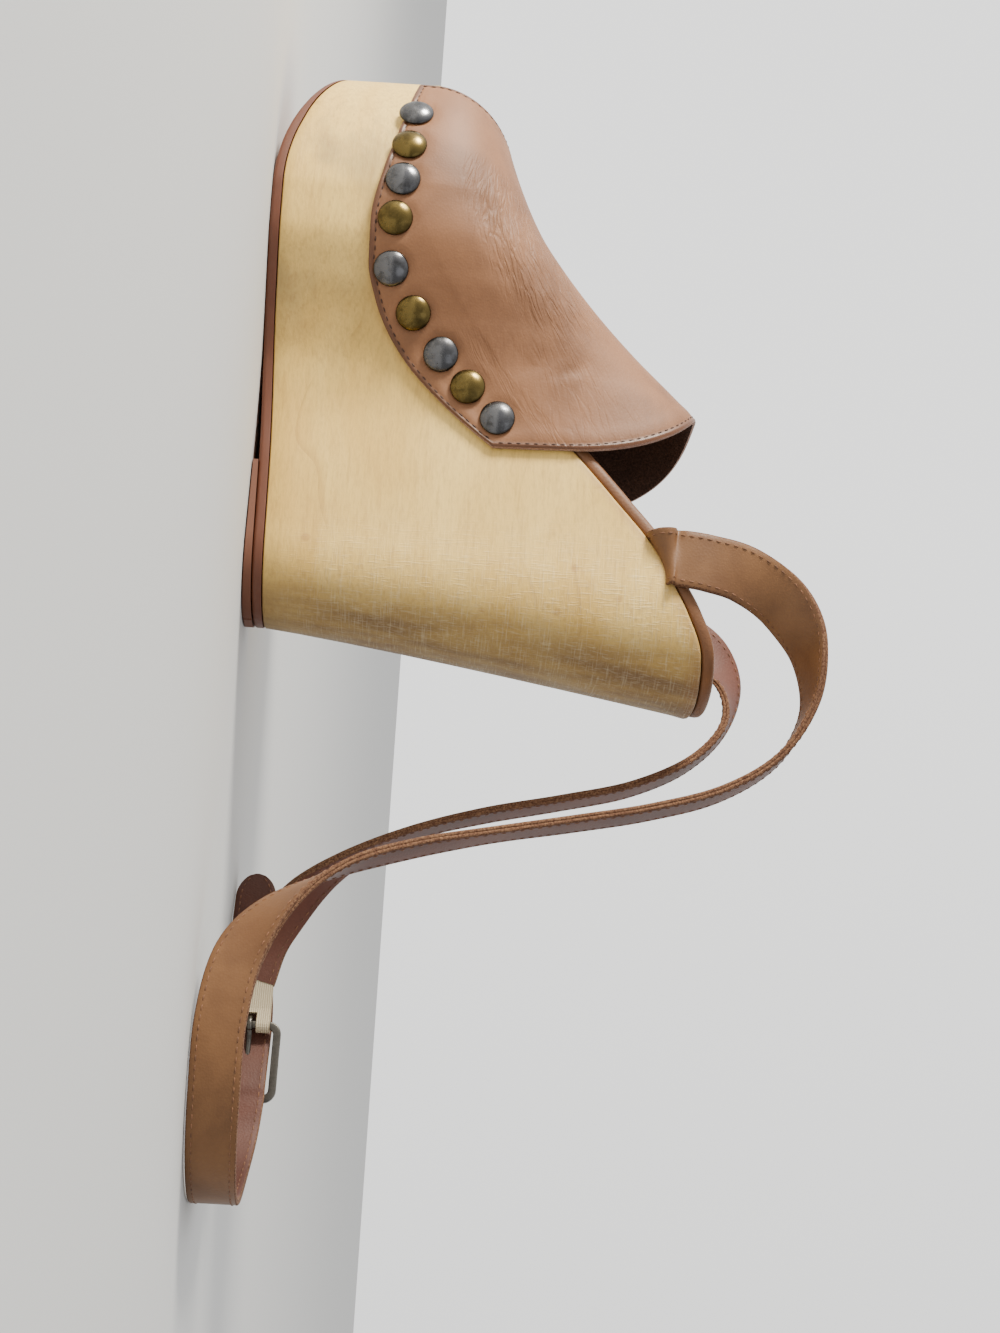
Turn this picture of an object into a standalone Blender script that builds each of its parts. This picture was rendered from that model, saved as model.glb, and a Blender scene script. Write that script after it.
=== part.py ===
"""Right-foot wooden wedge sandal, standing empty on its sole.

+X runs from heel to toe, +Y to the shoe's own left (its inner side), +Z up.
Sizes in this file are millimetres, with x from the rear end of the heel lift. build_object
turns them into metres and puts the origin in the middle of the heel lift's underside.
"""
import math

import bmesh
import bpy
from mathutils import Matrix, Vector
from mathutils.bvhtree import BVHTree

MM = 0.001
UP = Vector((0.0, 0.0, 1.0))

# Driving dimensions of the sole unit
SOLE_LENGTH = 216.0
HEEL_ROUND = 26.0
TOE_ROUND = 150.0
HEEL_BLUNT = 2.15
TOE_BLUNT = 2.1
BACK_OVERHANG = 22.5
BACK_CURVE = 1.15
BACK_FADE = 60.0
SPRING_START = 150.0
SPRING_HEIGHT = 24.7
SPRING_POWER = 1.9
LEATHER = 3.5
LEATHER_TOE = 0.9
LEATHER_TAPER_START = 178.0
LIFT_LENGTH = 53.0
ORIGIN = Vector((26.5, 0.0, 0.0))
INSOLE_THICKNESS = 4.3
INSOLE_TOE_THICKNESS = 2.8
INSOLE_INSET = 0.5
GAP = 0.3
SLOPED_GAP = 0.45

# Driving dimensions of the upper
WALL = 2.2
UPPER_GAP = 0.5
ARCH_POWER = 2.35
CREST_SHIFT = 3.0
FRONT_MEDIAL_X = 200.5
FRONT_CREST_X = 188.0
FRONT_LATERAL_X = 195.0
REAR_MEDIAL_X = 61.0
REAR_LATERAL_X = 62.0
REAR_CREST_X = 88.0
REAR_LEAN_POWER = 2.2
LATERAL_EDGE_SHIFT = 2.0

# Driving dimensions of studs, strap and buckle
STUD_RADIUS = 6.25
STUD_HEIGHT = 2.7
STUD_RIM = 0.5
STRAP_THICKNESS = 2.6
STRAP_FLOOR = 0.15
BUCKLE_LENGTH = 29.0
BUCKLE_WIDTH = 22.6
BUCKLE_BAR = 2.8
BUCKLE_DEPTH = 2.2
BUCKLE_CORNER = 3.2
ELASTIC_THICKNESS = 1.0
ELASTIC_WIDTH = 14.0
ELASTIC_LENGTH = 15.0
ELASTIC_SLOT = 4.4
ELASTIC_SLOT_REACH = 4.3
PRONG_RADIUS = 0.9
HOLE_RADIUS = 2.2
HOLE_STRETCH = 2.2

# Mesh fineness
SOLE_STEPS = 30
WEDGE_LEVELS = (0.0, 0.3, 0.6, 0.85, 1.0)
UPPER_RIBS = 18
ARCH_STEPS = 8
STUD_SIDES = 14
SIGHT = 90.0
ROD_SIDES = 16

# Half widths of the sole at its bottom and of the wood at its top edge, heel to ball
PLAN_COLUMNS = ("x", "sole_medial", "sole_lateral", "top_medial", "top_lateral")
PLAN = (
    (26.0, 24.0, 24.0, 32.6, 32.6),
    (50.0, 23.6, 24.2, 31.4, 31.6),
    (72.0, 22.8, 24.2, 30.0, 31.0),
    (90.0, 24.5, 25.4, 31.6, 32.4),
    (105.0, 30.0, 28.2, 36.0, 35.2),
    (120.0, 38.2, 32.0, 42.6, 38.6),
    (135.0, 45.4, 35.2, 48.2, 41.4),
    (150.0, 48.0, 37.0, 50.4, 42.6),
)

# Height of the wood's top surface, and of the upper's crest above the middle of the foot
FOOTBED_COLUMNS = ("x", "z")
FOOTBED = (
    (-22.5, 160.5),
    (-10.0, 159.2),
    (4.0, 153.7),
    (12.7, 149.2),
    (25.0, 142.8),
    (45.0, 126.5),
    (63.5, 110.5),
    (80.0, 95.5),
    (100.0, 78.5),
    (120.0, 63.5),
    (135.0, 55.5),
    (150.0, 52.5),
    (187.0, 56.0),
    (216.0, 58.5),
)
CREST_COLUMNS = ("x", "z")
CREST = (
    (56.0, 182.0),
    (72.0, 173.0),
    (85.0, 162.0),
    (95.0, 151.5),
    (105.0, 140.0),
    (120.0, 124.0),
    (135.0, 110.5),
    (150.0, 100.0),
    (170.0, 91.0),
    (190.0, 84.5),
    (206.0, 79.0),
)

# Underside of the leather: it rests on the lift at the heel and on the floor at the ball
UNDERSIDE_COLUMNS = ("x", "z")
UNDERSIDE = (
    (0.0, 3.5),
    (53.0, 2.3),
    (112.0, 0.0),
    (150.0, 0.0),
)

# Lower edge of the upper on the wood's side, and the line of the stud centres
EDGE_COLUMNS = ("x", "lower", "studs")
EDGE = (
    (61.0, 83.6, 94.0),
    (67.5, 75.5, 88.6),
    (76.4, 65.1, 79.6),
    (88.8, 52.7, 67.6),
    (100.7, 43.8, 57.4),
    (111.0, 38.8, 49.6),
    (122.0, 35.8, 43.6),
    (136.0, 35.6, 44.2),
    (154.0, 38.6, 46.3),
    (172.6, 43.2, 48.0),
    (187.0, 46.3, 49.6),
    (204.0, 49.8, 51.5),
)
STUDS_MEDIAL = (181.0, 165.5, 151.0, 136.5, 120.0, 106.5, 93.5, 82.5, 71.5)
STUDS_LATERAL = (188.0, 176.0, 163.5, 150.0, 135.5, 120.0, 106.0, 94.0, 83.0, 72.5)

# Slack strap: centre line, width direction and width of each strand, root first
STRAP_COLUMNS = ("x", "y", "z", "across_x", "across_y", "across_z", "width")
STRAP_LONG = (
    (23.3, 33.8, 145.7, 0.88, 0.00, -0.48, 20.0),
    (22.9, 33.9, 150.5, 0.93, 0.00, -0.37, 20.0),
    (21.5, 34.7, 160.0, 0.99, 0.05, -0.12, 20.0),
    (18.0, 34.6, 173.0, 0.95, 0.25, 0.15, 19.8),
    (9.0, 32.0, 187.0, 0.78, 0.58, 0.25, 19.5),
    (-6.0, 28.0, 196.0, 0.45, 0.86, 0.22, 19.2),
    (-25.0, 24.5, 197.0, 0.15, 0.98, 0.10, 18.8),
    (-43.0, 22.0, 187.0, 0.00, 1.00, 0.00, 18.4),
    (-56.0, 21.0, 168.0, 0.00, 1.00, 0.00, 18.0),
    (-64.0, 21.0, 144.0, 0.00, 1.00, 0.00, 17.8),
    (-70.0, 22.0, 118.0, 0.00, 1.00, 0.00, 17.6),
    (-76.0, 24.0, 91.0, 0.00, 1.00, 0.05, 17.4),
    (-83.0, 27.0, 65.0, 0.12, 0.95, 0.20, 17.2),
    (-92.0, 31.0, 42.0, 0.20, 0.82, 0.50, 17.0),
    (-105.0, 36.0, 24.0, 0.12, 0.55, 0.80, 16.8),
    (-122.0, 40.5, 13.0, 0.03, 0.20, 0.98, 16.6),
    (-143.0, 42.0, 9.0, 0.00, 0.00, 1.00, 16.4),
    (-165.0, 38.0, 8.6, 0.00, 0.00, 1.00, 16.2),
    (-184.0, 27.0, 8.5, 0.00, 0.00, 1.00, 16.0),
    (-195.0, 9.0, 8.4, 0.00, 0.00, 1.00, 15.8),
    (-196.0, -11.0, 8.4, 0.00, 0.00, 1.00, 15.6),
    (-188.0, -29.0, 8.9, 0.00, 0.00, 1.00, 15.4),
    (-174.0, -41.0, 10.5, 0.00, 0.00, 1.00, 15.2),
)
STRAP_SHORT = (
    (21.3, -33.8, 146.9, 0.88, 0.00, -0.48, 20.0),
    (20.6, -33.9, 151.6, 0.93, 0.00, -0.37, 20.0),
    (17.5, -34.7, 160.5, 0.97, -0.05, -0.10, 20.0),
    (11.0, -35.0, 170.5, 0.88, -0.25, 0.35, 19.6),
    (-2.0, -33.0, 178.0, 0.50, -0.75, 0.42, 19.0),
    (-19.0, -30.0, 176.0, 0.12, -0.98, 0.15, 18.4),
    (-34.0, -27.0, 163.0, 0.00, -1.00, 0.00, 17.8),
    (-45.0, -25.5, 142.0, 0.00, -1.00, 0.00, 17.4),
    (-51.5, -26.5, 117.0, 0.00, -1.00, 0.00, 17.0),
    (-57.0, -29.5, 91.0, 0.00, -1.00, 0.05, 16.6),
    (-63.5, -35.5, 66.0, 0.10, -0.93, 0.30, 16.2),
    (-72.5, -43.0, 44.5, 0.15, -0.75, 0.60, 15.9),
    (-84.5, -50.5, 28.0, 0.10, -0.42, 0.88, 15.6),
)

# Where the buckle stands, on edge on the floor, and which way the strap runs through it
BUCKLE_CENTRE = Vector((-147.0, -51.0, BUCKLE_WIDTH / 2 + STRAP_FLOOR))
BUCKLE_TURN = math.radians(-6.0)
ALONG = Vector((math.cos(BUCKLE_TURN), math.sin(BUCKLE_TURN), 0.0))
OUTWARD = Vector((math.sin(BUCKLE_TURN), -math.cos(BUCKLE_TURN), 0.0))

# The long strap's last stretch: distance along the buckle, distance outward, height, width
THREAD_COLUMNS = ("along", "outward", "z", "width")
THREAD = (
    (-15.0, -3.6, 11.45, 15.0),
    (-9.0, -2.6, 11.45, 15.0),
    (0.0, 0.6, 11.45, 15.0),
    (7.0, 3.6, 11.45, 15.0),
    (13.5, 5.5, 11.45, 15.0),
    (20.0, 5.6, 11.2, 15.0),
    (28.0, 5.6, 10.4, 15.0),
    (40.0, 7.4, 8.6, 15.0),
    (54.0, 11.5, 8.0, 15.0),
    (66.0, 16.5, 7.8, 14.5),
    (72.0, 19.3, 7.2, 10.5),
    (75.0, 20.8, 7.2, 4.5),
)
THREAD_HOLE = 2.4

# The short strap's last stretch, behind the elastic
STUB_COLUMNS = ("along", "outward", "z", "width")
STUB = (
    (46.0, 0.4, 16.0, 15.3),
    (BUCKLE_LENGTH / 2 + ELASTIC_LENGTH, 0.0, 11.45, 15.0),
)


def read(table, columns, name, x):
    """Value of a table's column at x, on a smooth curve that never overshoots its rows."""
    col = columns.index(name)
    if x <= table[0][0]:
        return table[0][col]
    if x >= table[-1][0]:
        return table[-1][col]
    row = max(i for i in range(len(table) - 1) if table[i][0] <= x)
    slopes = []
    for i in (row, row + 1):
        if i in (0, len(table) - 1):
            j = min(i, len(table) - 2)
            slopes.append((table[j + 1][col] - table[j][col]) / (table[j + 1][0] - table[j][0]))
            continue
        before = (table[i][col] - table[i - 1][col]) / (table[i][0] - table[i - 1][0])
        after = (table[i + 1][col] - table[i][col]) / (table[i + 1][0] - table[i][0])
        slopes.append(2 * before * after / (before + after) if before * after > 0 else 0.0)
    span = table[row + 1][0] - table[row][0]
    t = (x - table[row][0]) / span
    return ((2 * t**3 - 3 * t**2 + 1) * table[row][col] + (t**3 - 2 * t**2 + t) * span * slopes[0]
            + (3 * t**2 - 2 * t**3) * table[row + 1][col] + (t**3 - t**2) * span * slopes[1])


def rounding(x):
    """How far the round heel and toe ends narrow the plan at x, from 0 to 1."""
    if x < HEEL_ROUND:
        return max(0.0, 1 - ((HEEL_ROUND - x) / HEEL_ROUND) ** HEEL_BLUNT) ** (1 / HEEL_BLUNT)
    if x > TOE_ROUND:
        reach = (x - TOE_ROUND) / (SOLE_LENGTH - TOE_ROUND)
        return max(0.0, 1 - reach**TOE_BLUNT) ** (1 / TOE_BLUNT)
    return 1.0


def half_width(x, side, level):
    """Distance from the centre line to the wood's side, level 0 at the sole and 1 at the top."""
    name = "medial" if side > 0 else "lateral"
    low = read(PLAN, PLAN_COLUMNS, "sole_" + name, x)
    high = read(PLAN, PLAN_COLUMNS, "top_" + name, x)
    return (low + (high - low) * level) * rounding(x)


def underside(x):
    """Bottom of the leather sole, with the toe's upward sweep."""
    if x <= SPRING_START:
        return read(UNDERSIDE, UNDERSIDE_COLUMNS, "z", x)
    return SPRING_HEIGHT * ((x - SPRING_START) / (SOLE_LENGTH - SPRING_START)) ** SPRING_POWER


def leather_thickness(x):
    """Leather sole's thickness, which tapers away up the toe."""
    taper = (x - LEATHER_TAPER_START) / (SOLE_LENGTH - LEATHER_TAPER_START)
    return LEATHER + (LEATHER_TOE - LEATHER) * min(1.0, max(0.0, taper))


def wood_bottom(x):
    return underside(x) + leather_thickness(x) + GAP


def footbed(x):
    return read(FOOTBED, FOOTBED_COLUMNS, "z", x)


def footbed_slope(x):
    """How much a vertical distance exceeds the one square to the footbed at x."""
    return math.hypot(1.0, (footbed(x + 1) - footbed(x - 1)) / 2)


def back_shift(x, level):
    """How far the slanting back wall carries a point of the heel rearward."""
    fade = max(0.0, 1 - x / BACK_FADE)
    return -BACK_OVERHANG * level**BACK_CURVE * fade * fade * (3 - 2 * fade)


def stations(last):
    """Places along the sole from its heel end, closer together at the round ends."""
    return [last * (1 - math.cos(math.pi * i / SOLE_STEPS)) / 2 for i in range(SOLE_STEPS + 1)]


def ring(xs, level, height):
    """Closed outline at one level: inner side from heel to toe, then the outer side back."""
    places = [(x, 1) for x in xs] + [(x, -1) for x in reversed(xs[1:-1])]
    points = []
    for x, side in places:
        px = x + back_shift(x, level)
        points.append(Vector((px, side * half_width(x, side, level), height(x, px))))
    return points


def inset_ring(points, distance):
    """The same outline moved inward, square to itself in plan."""
    moved = []
    for i, point in enumerate(points):
        run = points[(i + 1) % len(points)] - points[i - 1]
        inward = Vector((run.y, -run.x, 0.0)).normalized()
        moved.append(point + inward * distance)
    return moved


def add_rings(mesh, rings, half):
    """Skin closed outlines in order, and close both ends with cross strips."""
    verts = [[mesh.verts.new(p) for p in points] for points in rings]
    for low, high in zip(verts, verts[1:]):
        for i in range(len(low)):
            j = (i + 1) % len(low)
            mesh.faces.new((low[i], high[i], high[j], low[j]))
    for loop in (verts[0], verts[-1]):
        count = len(loop)
        for i in range(half):
            face = [loop[i], loop[i + 1], loop[(count - i - 1) % count], loop[(count - i) % count]]
            mesh.faces.new(list(dict.fromkeys(face)))


def build_object(name, mesh, material, sharp=40.0):
    """Turn millimetre geometry into a closed, outward-facing object in metres."""
    bmesh.ops.recalc_face_normals(mesh, faces=mesh.faces)
    bmesh.ops.translate(mesh, vec=-ORIGIN, verts=mesh.verts)
    bmesh.ops.scale(mesh, vec=(MM, MM, MM), verts=mesh.verts)
    data = bpy.data.meshes.new(name)
    mesh.to_mesh(data)
    mesh.free()
    data.shade_smooth()
    data.set_sharp_from_angle(angle=math.radians(sharp))
    data.materials.append(material)
    obj = bpy.data.objects.new(name, data)
    bpy.context.scene.collection.objects.link(obj)
    return obj


def make_material(name, colour, roughness, metallic=0.0):
    material = bpy.data.materials.new(name)
    material.use_nodes = True
    shader = material.node_tree.nodes["Principled BSDF"]
    shader.inputs["Base Color"].default_value = (*colour, 1.0)
    shader.inputs["Roughness"].default_value = roughness
    shader.inputs["Metallic"].default_value = metallic
    return material


def make_heel_lift(material):
    """Rubber top piece under the heel, straight across its front."""
    xs = [x for x in stations(SOLE_LENGTH) if x < LIFT_LENGTH] + [LIFT_LENGTH]
    mesh = bmesh.new()
    rings = []
    for height in (lambda x: 0.0, lambda x: underside(x) - GAP):
        places = [(x, 1) for x in xs] + [(x, -1) for x in reversed(xs[1:])]
        rings.append([Vector((x, s * half_width(x, s, 0.0), height(x))) for x, s in places])
    verts = [[mesh.verts.new(p) for p in points] for points in rings]
    count = len(verts[0])
    for i in range(count):
        j = (i + 1) % count
        mesh.faces.new((verts[0][i], verts[1][i], verts[1][j], verts[0][j]))
    for loop in verts:
        for i in range(len(xs) - 1):
            face = [loop[i], loop[i + 1], loop[count - i - 1], loop[(count - i) % count]]
            mesh.faces.new(list(dict.fromkeys(face)))
    return build_object("heel_lift", mesh, material)


def make_outsole(material):
    """Leather sole, flat under the ball and swept up round the toe."""
    xs = stations(SOLE_LENGTH)
    mesh = bmesh.new()
    bottom = ring(xs, 0.0, lambda x, px: underside(x))
    top = ring(xs, 0.0, lambda x, px: underside(x) + leather_thickness(x))
    add_rings(mesh, (bottom, top), SOLE_STEPS)
    return build_object("outsole", mesh, material)


def make_wedge(material):
    """Carved wooden block between the leather sole and the footbed."""
    xs = stations(SOLE_LENGTH)
    rings = []
    for level in WEDGE_LEVELS:
        rings.append(ring(xs, level, lambda x, px: wood_bottom(x) + level * (
            footbed(x + back_shift(x, 1.0)) - wood_bottom(x))))
    mesh = bmesh.new()
    add_rings(mesh, rings, SOLE_STEPS)
    return build_object("wedge", mesh, material)


def insole_thickness(x):
    share = min(1.0, max(0.0, (x - REAR_MEDIAL_X) / (TOE_ROUND - REAR_MEDIAL_X)))
    return INSOLE_THICKNESS + (INSOLE_TOE_THICKNESS - INSOLE_THICKNESS) * share


def make_insole(material):
    """Leather-wrapped footbed cover, flush with the wood and rounded at its rim."""
    xs = stations(SOLE_LENGTH)
    rings = []
    for share, inset in ((0.0, INSOLE_INSET + 0.3), (0.3, INSOLE_INSET), (0.75, INSOLE_INSET),
                         (1.0, INSOLE_INSET + 1.2)):
        outline = ring(xs, 1.0, lambda x, px: footbed(px) + footbed_slope(px) * (
            SLOPED_GAP + share * insole_thickness(px)))
        rings.append(inset_ring(outline, inset))
    mesh = bmesh.new()
    add_rings(mesh, rings, SOLE_STEPS)
    return build_object("insole", mesh, material)


def wood_side(x, z, side, stand_off):
    """Sideways place of a surface stand_off away from the wood's side, at x and height z."""
    def plain(place):
        low = wood_bottom(place)
        level = (z - low) / (footbed(place) - low)
        return half_width(place, side, min(1.0, max(0.0, level)))
    lean = (plain(x + 0.5) - plain(x - 0.5))
    return plain(x) + stand_off * math.hypot(1.0, lean)


def upper_columns():
    """The places round an upper's rib: share down the wood's side, or angle over the foot."""
    side = [("side", 0.0), ("side", 0.5)]
    arch = [("arch", math.pi / 2 * i / ARCH_STEPS) for i in range(ARCH_STEPS)]
    inner = [(1, kind, value) for kind, value in side + arch]
    outer = [(-1, kind, value) for kind, value in reversed(side + arch)]
    return inner + [(0, "crest", 0.0)] + outer


def rib_x(share, side, rise):
    """Where a rib stands along the foot, from the front edge (0) to the rear edge (1)."""
    front_base = FRONT_MEDIAL_X if side > 0 else FRONT_LATERAL_X
    rear_base = REAR_MEDIAL_X if side > 0 else REAR_LATERAL_X
    front = front_base + (FRONT_CREST_X - front_base) * rise**1.5
    rear = rear_base + (REAR_CREST_X - rear_base) * rise**REAR_LEAN_POWER
    return front + (rear - front) * share


def upper_point(share, column, stand_off):
    """A point of the upper's outside; stand_off is its distance from the wood's side."""
    side, kind, value = column
    if kind == "crest":
        x = rib_x(share, 1, 1.0)
        middle = (wood_side(x, footbed(x), 1, 0) - wood_side(x, footbed(x), -1, 0)) / 2
        return Vector((x, middle - CREST_SHIFT, read(CREST, CREST_COLUMNS, "z", x)))
    if kind == "side":
        x = rib_x(share, side, 0.12 * value)
        edge_x = x + (0.0 if side > 0 else LATERAL_EDGE_SHIFT)
        low = read(EDGE, EDGE_COLUMNS, "lower", edge_x)
        z = low + (footbed(x) - low) * value
        return Vector((x, side * wood_side(x, z, side, stand_off), z))
    rise = 0.12 + 0.88 * math.sin(value) ** (2 / ARCH_POWER)
    x = rib_x(share, side, rise)
    base = footbed(x)
    crest = read(CREST, CREST_COLUMNS, "z", x)
    wide = wood_side(x, base, side, stand_off)
    middle = (wood_side(x, base, 1, 0) - wood_side(x, base, -1, 0)) / 2 - CREST_SHIFT
    across = math.cos(value) ** (2 / ARCH_POWER)
    up = math.sin(value) ** (2 / ARCH_POWER)
    return Vector((x, middle + (side * wide - middle) * across, base + (crest - base) * up))


def make_upper(material):
    """Hollow leather vamp, open at toe and back and underneath where the wood closes it."""
    columns = upper_columns()
    shares = [i / UPPER_RIBS for i in range(UPPER_RIBS + 1)]
    outside = [[upper_point(s, c, UPPER_GAP + WALL) for c in columns] for s in shares]
    inside = []
    for i, row in enumerate(outside):
        before, after = outside[max(i - 1, 0)], outside[min(i + 1, UPPER_RIBS)]
        line = []
        for j, point in enumerate(row):
            down = row[min(j + 1, len(row) - 1)] - row[max(j - 1, 0)]
            along = after[j] - before[j]
            line.append(point + down.cross(along).normalized() * WALL)
        inside.append(line)
    mesh = bmesh.new()
    skins = [[[mesh.verts.new(p) for p in line] for line in skin] for skin in (outside, inside)]
    last = len(columns) - 1
    for skin in skins:
        for a, b in zip(skin, skin[1:]):
            for j in range(last):
                mesh.faces.new((a[j], a[j + 1], b[j + 1], b[j]))
    outer, inner = skins
    for i in range(UPPER_RIBS):
        for j in (0, last):
            mesh.faces.new((outer[i][j], outer[i + 1][j], inner[i + 1][j], inner[i][j]))
    for i in (0, UPPER_RIBS):
        for j in range(last):
            mesh.faces.new((outer[i][j], outer[i][j + 1], inner[i][j + 1], inner[i][j]))
    return build_object("upper", mesh, material, sharp=60.0)


def make_stud(name, x, side, skin, material):
    """Domed nail head seated on the upper's side, just clear of its highest point there."""
    edge_x = x + (0.0 if side > 0 else LATERAL_EDGE_SHIFT)
    z = read(EDGE, EDGE_COLUMNS, "studs", edge_x)
    away = Vector((0.0, side * SIGHT, 0.0))
    here, outward = skin.ray_cast(Vector((x, 0.0, z)) + away, -away)[:2]
    if outward.y * side < 0:
        outward.negate()
    place = Matrix.Translation(here) @ UP.rotation_difference(outward).to_matrix().to_4x4()
    highest = 0.0
    for i in range(STUD_SIDES):
        angle = 2 * math.pi * i / STUD_SIDES
        rim = place @ Vector((STUD_RADIUS * math.cos(angle), STUD_RADIUS * math.sin(angle), SIGHT))
        reach = skin.ray_cast(rim, -outward)[3]
        if reach is not None:
            highest = max(highest, SIGHT - reach)
    place = Matrix.Translation(outward * (highest + GAP)) @ place
    profile = [(STUD_RADIUS, 0.0), (STUD_RADIUS, STUD_RIM), (STUD_RADIUS * 0.82, STUD_HEIGHT * 0.55),
               (STUD_RADIUS * 0.45, STUD_HEIGHT * 0.9)]
    mesh = bmesh.new()
    rows = []
    for radius, height in profile:
        rows.append([mesh.verts.new(place @ Vector((radius * math.cos(a), radius * math.sin(a), height)))
                     for a in (2 * math.pi * i / STUD_SIDES for i in range(STUD_SIDES))])
    for low, high in zip(rows, rows[1:]):
        for i in range(STUD_SIDES):
            j = (i + 1) % STUD_SIDES
            mesh.faces.new((low[i], low[j], high[j], high[i]))
    mesh.faces.new(rows[0])
    mesh.faces.new(rows[-1])
    return build_object(name, mesh, material)


def smooth_rows(rows, steps):
    """Rows read from a smooth curve through the given rows, steps to each stretch."""
    rows = [Vector(r) for r in rows]
    ends = [2 * rows[0] - rows[1]] + rows + [2 * rows[-1] - rows[-2]]
    fine = []
    for i in range(1, len(ends) - 2):
        a, b, c, d = ends[i - 1:i + 3]
        for k in range(steps):
            t = k / steps
            fine.append(0.5 * (2 * b + (c - a) * t + (2 * a - 5 * b + 4 * c - d) * t * t
                               + (3 * b - a - 3 * c + d) * t**3))
    return fine + [rows[-1]]


def in_buckle(along, outward, z):
    """A point given by its distances along and out of the buckle."""
    point = BUCKLE_CENTRE + ALONG * along + OUTWARD * outward
    return Vector((point.x, point.y, z))


def strap_rows(strand, last_stretch):
    """A strand's own rows with its stretch at the buckle behind them."""
    rows = [list(row) for row in strand]
    for along, outward, z, width in last_stretch:
        rows.append([*in_buckle(along, outward, z), 0.0, 0.0, math.copysign(1.0, rows[-1][5]), width])
    return rows


def make_strap(name, rows, material, steps=2):
    """Flat leather strap of even thickness along a smooth route."""
    fine = smooth_rows(rows, steps)
    centres = [Vector(r[:3]) for r in fine]
    mesh = bmesh.new()
    loops = []
    for i, row in enumerate(fine):
        run = (centres[min(i + 1, len(fine) - 1)] - centres[max(i - 1, 0)]).normalized()
        across = Vector(row[3:6]).normalized()
        face = run.cross(across).normalized()
        wide, thick = across * row[6] / 2, face * STRAP_THICKNESS / 2
        corners = (wide + thick, wide - thick, -wide - thick, -wide + thick)
        loops.append([mesh.verts.new(centres[i] + c) for c in corners])
    for a, b in zip(loops, loops[1:]):
        for k in range(4):
            mesh.faces.new((a[k], a[(k + 1) % 4], b[(k + 1) % 4], b[k]))
    mesh.faces.new(loops[0])
    mesh.faces.new(loops[-1])
    return build_object(name, mesh, material)


def cut(target, cutter):
    """Take a guide solid's shape out of an object, and keep the guide out of sight."""
    cutter.hide_render = True
    cutter.display_type = "WIRE"
    modifier = target.modifiers.new(cutter.name, "BOOLEAN")
    modifier.operation = "DIFFERENCE"
    modifier.object = cutter
    return target


def make_rod(name, centre, turn, radius, length, material):
    """Round guide solid whose own axes are the columns of turn."""
    mesh = bmesh.new()
    bmesh.ops.create_cone(mesh, cap_ends=True, segments=ROD_SIDES, radius1=radius, radius2=radius,
                          depth=length, matrix=Matrix.Translation(centre) @ turn)
    return build_object(name, mesh, material)


def buckle_path():
    """Centre line of the buckle's frame as distances along and across the strap."""
    half_a = (BUCKLE_LENGTH - BUCKLE_BAR) / 2 - BUCKLE_CORNER
    half_c = (BUCKLE_WIDTH - BUCKLE_BAR) / 2 - BUCKLE_CORNER
    path = []
    for quarter, (sa, sc) in enumerate(((1, 1), (-1, 1), (-1, -1), (1, -1))):
        for step in range(4):
            angle = math.pi / 2 * (quarter + step / 3)
            path.append((sa * half_a + BUCKLE_CORNER * math.cos(angle),
                         sc * half_c + BUCKLE_CORNER * math.sin(angle)))
    return path


def make_buckle_frame(material):
    """Rectangular metal frame, standing on its long side."""
    path = buckle_path()
    section = ((-1.0, -0.6), (-0.6, -1.0), (0.6, -1.0), (1.0, -0.6),
               (1.0, 0.6), (0.6, 1.0), (-0.6, 1.0), (-1.0, 0.6))
    mesh = bmesh.new()
    loops = []
    for i, (along, across) in enumerate(path):
        before, after = path[i - 1], path[(i + 1) % len(path)]
        run = Vector((after[0] - before[0], after[1] - before[1])).normalized()
        loop = []
        for u, v in section:
            a = along + run.y * u * BUCKLE_BAR / 2
            c = across - run.x * u * BUCKLE_BAR / 2
            point = BUCKLE_CENTRE + ALONG * a + OUTWARD * (v * BUCKLE_DEPTH / 2)
            loop.append(mesh.verts.new(point + UP * c))
        loops.append(loop)
    for i, a in enumerate(loops):
        b = loops[(i + 1) % len(loops)]
        for k in range(len(section)):
            mesh.faces.new((a[k], a[(k + 1) % 8], b[(k + 1) % 8], b[k]))
    return build_object("buckle_frame", mesh, material)


def make_elastic(material):
    """Folded elastic that holds the buckle's rear bar to the short strap's end."""
    bar = (BUCKLE_LENGTH - BUCKLE_BAR) / 2
    inner = BUCKLE_BAR / 2 + GAP
    outer = inner + ELASTIC_THICKNESS
    end = BUCKLE_LENGTH / 2 + ELASTIC_LENGTH - GAP
    outline = [(bar + outer * math.cos(a), outer * math.sin(a))
               for a in (math.radians(70 + 220 * i / 10) for i in range(11))]
    outline += [(bar + 6.0, -ELASTIC_THICKNESS), (end, -ELASTIC_THICKNESS),
                (end, ELASTIC_THICKNESS), (bar + 6.0, ELASTIC_THICKNESS)]
    mesh = bmesh.new()
    faces = []
    for across in (-ELASTIC_WIDTH / 2, ELASTIC_WIDTH / 2):
        faces.append([mesh.verts.new(BUCKLE_CENTRE + ALONG * a + OUTWARD * o + UP * across)
                      for a, o in outline])
    count = len(outline)
    for i in range(count):
        j = (i + 1) % count
        mesh.faces.new((faces[0][i], faces[0][j], faces[1][j], faces[1][i]))
    mesh.faces.new(faces[0])
    mesh.faces.new(faces[1])
    elastic = build_object("elastic_loop", mesh, material)
    bar_point = BUCKLE_CENTRE + ALONG * bar
    bore = make_rod("guide_bar", bar_point, Matrix.Identity(4), inner, BUCKLE_WIDTH, material)
    slot = bmesh.new()
    turn = Matrix.Rotation(BUCKLE_TURN, 4, "Z")
    size = Matrix.Diagonal((2 * ELASTIC_SLOT_REACH, 3 * outer, ELASTIC_SLOT, 1.0))
    bmesh.ops.create_cube(slot, size=1.0, matrix=Matrix.Translation(bar_point) @ turn @ size)
    cut(elastic, bore)
    return cut(elastic, build_object("guide_slot", slot, material))


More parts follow.
